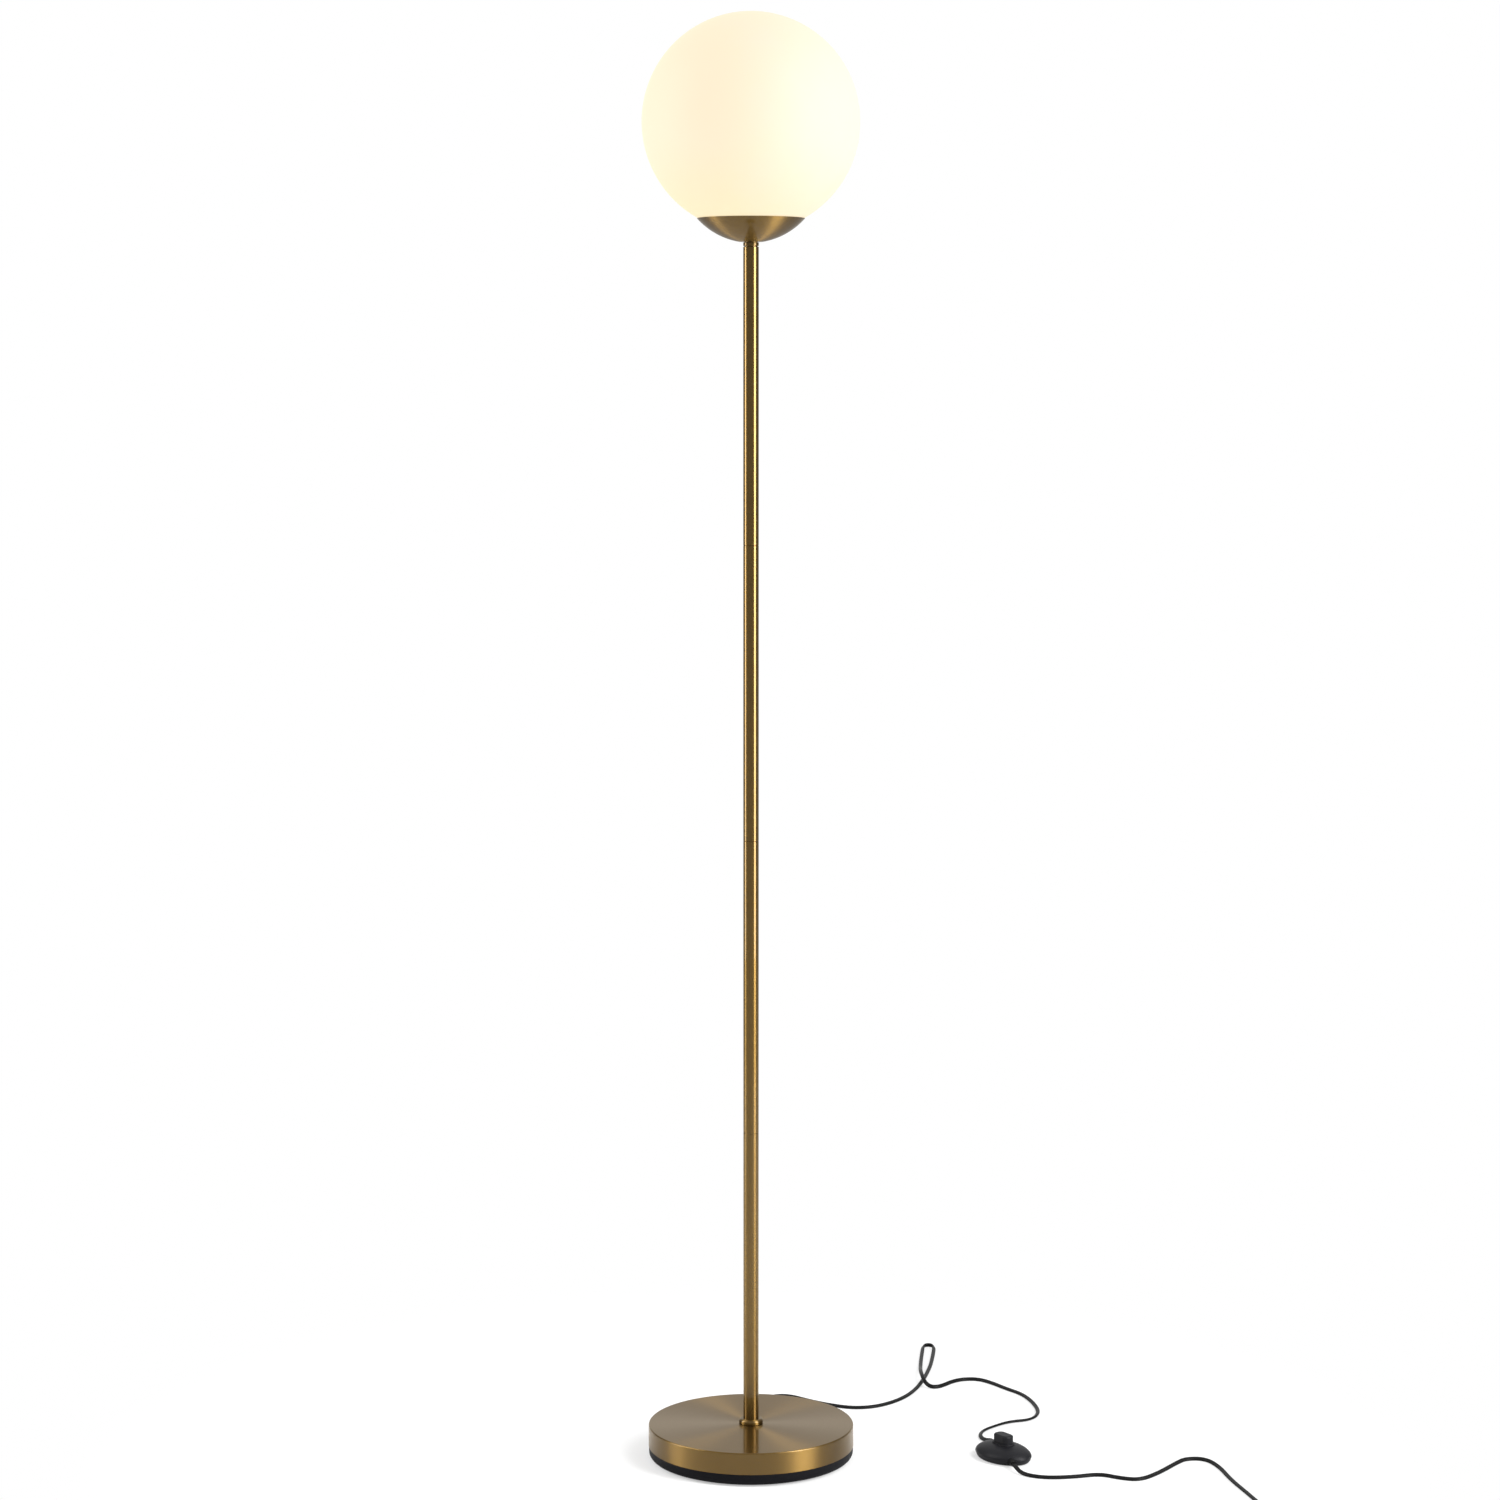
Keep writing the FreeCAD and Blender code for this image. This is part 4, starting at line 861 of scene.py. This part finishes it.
class LAMP_OT_stage(bpy.types.Operator):
    """Set the floor, the lamps, the surroundings and the camera"""

    bl_idname = "lamp.stage"
    bl_label = "Studio"

    def execute(self, context):
        studio = context.scene.lamp_studio
        build_floor()
        build_surroundings(context.scene, studio.around)
        build_lights()
        build_camera(context.scene, studio)
        return {"FINISHED"}


def build_floor():
    """A wide white floor: it keeps the lamp's soft shadow, and is pure white further off."""
    shape = bmesh.new()
    bmesh.ops.create_grid(shape, x_segments=1, y_segments=1, size=12.0)
    mesh = bpy.data.meshes.new("floor")
    shape.to_mesh(mesh)
    shape.free()
    floor = bpy.data.objects.new("floor", mesh)
    bpy.context.scene.collection.objects.link(floor)
    material, finish = new_material("white_floor")
    place = finish.place()
    x, y, _ = finish.axes(place)
    paint = finish.blend(finish.noise(place, 3.0), (0.80, 0.80, 0.80), (0.82, 0.82, 0.82))
    shaded = finish.node(
        "ShaderNodeBsdfPrincipled",
        sockets={"Base Color": paint, "Roughness": 0.9, "Specular IOR Level": 0.1},
    )
    white = finish.node("ShaderNodeEmission", sockets={"Color": (1, 1, 1, 1), "Strength": 1.0})
    camera = finish.node("ShaderNodeLightPath")
    clear = finish.rise(finish.from_axis(x, y), 0.14, 0.8, 0.42)
    seen = finish.node("ShaderNodeMixShader", sockets={0: camera * clear, 1: shaded, 2: white})
    finish.node("ShaderNodeOutputMaterial", sockets={"Surface": seen})
    mesh.materials.append(material)


# What the brass mirrors, as grey from the camera's side (0) by the sides (0.5) to the back (1)
ROUND_ABOUT = [(0.0, 0.44), (0.35, 0.40), (0.5, 0.26), (0.88, 0.28), (0.965, 0.85), (1.0, 0.85)]


def build_surroundings(scene, around):
    """White all round to the camera; softly shaded to everything else, as a studio is."""
    world = bpy.data.worlds.new("studio")
    scene.world = world
    world.use_nodes = True
    finish = Finish(world.node_tree)
    camera = finish.node("ShaderNodeLightPath")
    gloss = finish.output(camera, "Is Glossy Ray")
    x, y, z = finish.axes(finish.node("ShaderNodeTexCoord"))
    flat = finish.from_axis(x, y, more=0.0001)
    round_about = finish.node(
        "ShaderNodeValToRGB", {"stops": ROUND_ABOUT}, {0: y / flat * 0.5 + 0.5}
    )
    mirrored = finish.blend(finish.rise(z, 0.3, 0.9), round_about, (1.1, 1.1, 1.1))
    plain = finish.node("ShaderNodeBackground", sockets={"Color": (1, 1, 1, 1), "Strength": around})
    studio = finish.node("ShaderNodeBackground", sockets={"Color": mirrored, "Strength": 1.0})
    white = finish.node("ShaderNodeBackground", sockets={"Color": (1, 1, 1, 1), "Strength": 1.0})
    lit = finish.node("ShaderNodeMixShader", sockets={0: gloss, 1: plain, 2: studio})
    seen = finish.node("ShaderNodeMixShader", sockets={0: camera, 1: lit, 2: white})
    finish.node("ShaderNodeOutputWorld", sockets={"Surface": seen})


def add_softbox(name, direction, distance, width, height, middle, radiance):
    """An upright softbox that faces the lamp. Its direction is in degrees from the camera's side,
    and its strength is as seen in a mirror."""
    data = bpy.data.lights.new(name, "AREA")
    data.shape = "RECTANGLE"
    data.size = width
    data.size_y = height
    data.energy = radiance * math.pi * width * height
    lamp = bpy.data.objects.new(name, data)
    bpy.context.scene.collection.objects.link(lamp)
    angle = math.radians(direction)
    place = Vector((distance * math.sin(angle), -distance * math.cos(angle), middle))
    lamp.location = place
    lamp.rotation_euler = (Vector((0, 0, middle * 0.6)) - place).to_track_quat("-Z", "Y").to_euler()


def build_lights():
    """A stronger softbox at the front right and a weaker one at the left."""
    upright = {"distance": 1.9, "height": 2.7, "middle": 1.5}
    add_softbox("softbox_right", direction=62, width=0.95, radiance=13.0, **upright)
    add_softbox("softbox_left", direction=-90, width=0.75, radiance=8.0, **upright)


def build_camera(scene, studio):
    """The photograph's camera: its height, tilt and lens, framed by a small shift."""
    picture = 1500
    middle_across, middle_down = 751.0, 637.4
    data = bpy.data.cameras.new("camera")
    data.sensor_width = 36
    data.lens = studio.focal
    data.shift_x = (picture / 2 - middle_across) / picture
    data.shift_y = (middle_down - picture / 2) / picture
    data.clip_start = 0.01
    data.clip_end = 100
    camera = bpy.data.objects.new("camera", data)
    scene.collection.objects.link(camera)
    camera.location = (0, -studio.camera_back, studio.camera_height)
    camera.rotation_euler = (math.pi / 2 - studio.camera_tilt, 0, 0)
    scene.camera = camera
    scene.view_settings.view_transform = "Standard"


class LAMP_PT_panel(bpy.types.Panel):
    """The lamp's settings and the steps that build it."""

    bl_idname = "LAMP_PT_panel"
    bl_label = "Globe floor lamp"
    bl_space_type = "VIEW_3D"
    bl_region_type = "UI"
    bl_category = "Globe lamp"

    def draw(self, context):
        layout = self.layout
        scene = context.scene
        for group in (scene.lamp_finishes, scene.lamp_cord, scene.lamp_studio):
            box = layout.box()
            for name in group.__annotations__:
                box.prop(group, name)
        for operator in OPERATORS:
            layout.operator(operator.bl_idname)


OPERATORS = (
    LAMP_OT_finish_nodes, LAMP_OT_wind_spring, LAMP_OT_tie_coil, LAMP_OT_lay_cord, LAMP_OT_stage,
)
CLASSES = (LampFinishes, CordSizes, StudioSettings, *OPERATORS, LAMP_PT_panel)


def register():
    for cls in CLASSES:
        bpy.utils.register_class(cls)
    bpy.types.Scene.lamp_finishes = PointerProperty(type=LampFinishes)
    bpy.types.Scene.lamp_cord = PointerProperty(type=CordSizes)
    bpy.types.Scene.lamp_studio = PointerProperty(type=StudioSettings)


def unregister():
    del bpy.types.Scene.lamp_studio
    del bpy.types.Scene.lamp_cord
    del bpy.types.Scene.lamp_finishes
    for cls in reversed(CLASSES):
        bpy.utils.unregister_class(cls)


def main():
    register()
    bpy.ops.lamp.finish_nodes()
    bpy.ops.lamp.wind_spring()
    bpy.ops.lamp.tie_coil()
    bpy.ops.lamp.lay_cord()
    bpy.ops.lamp.stage()


if __name__ == "__main__":
    main()
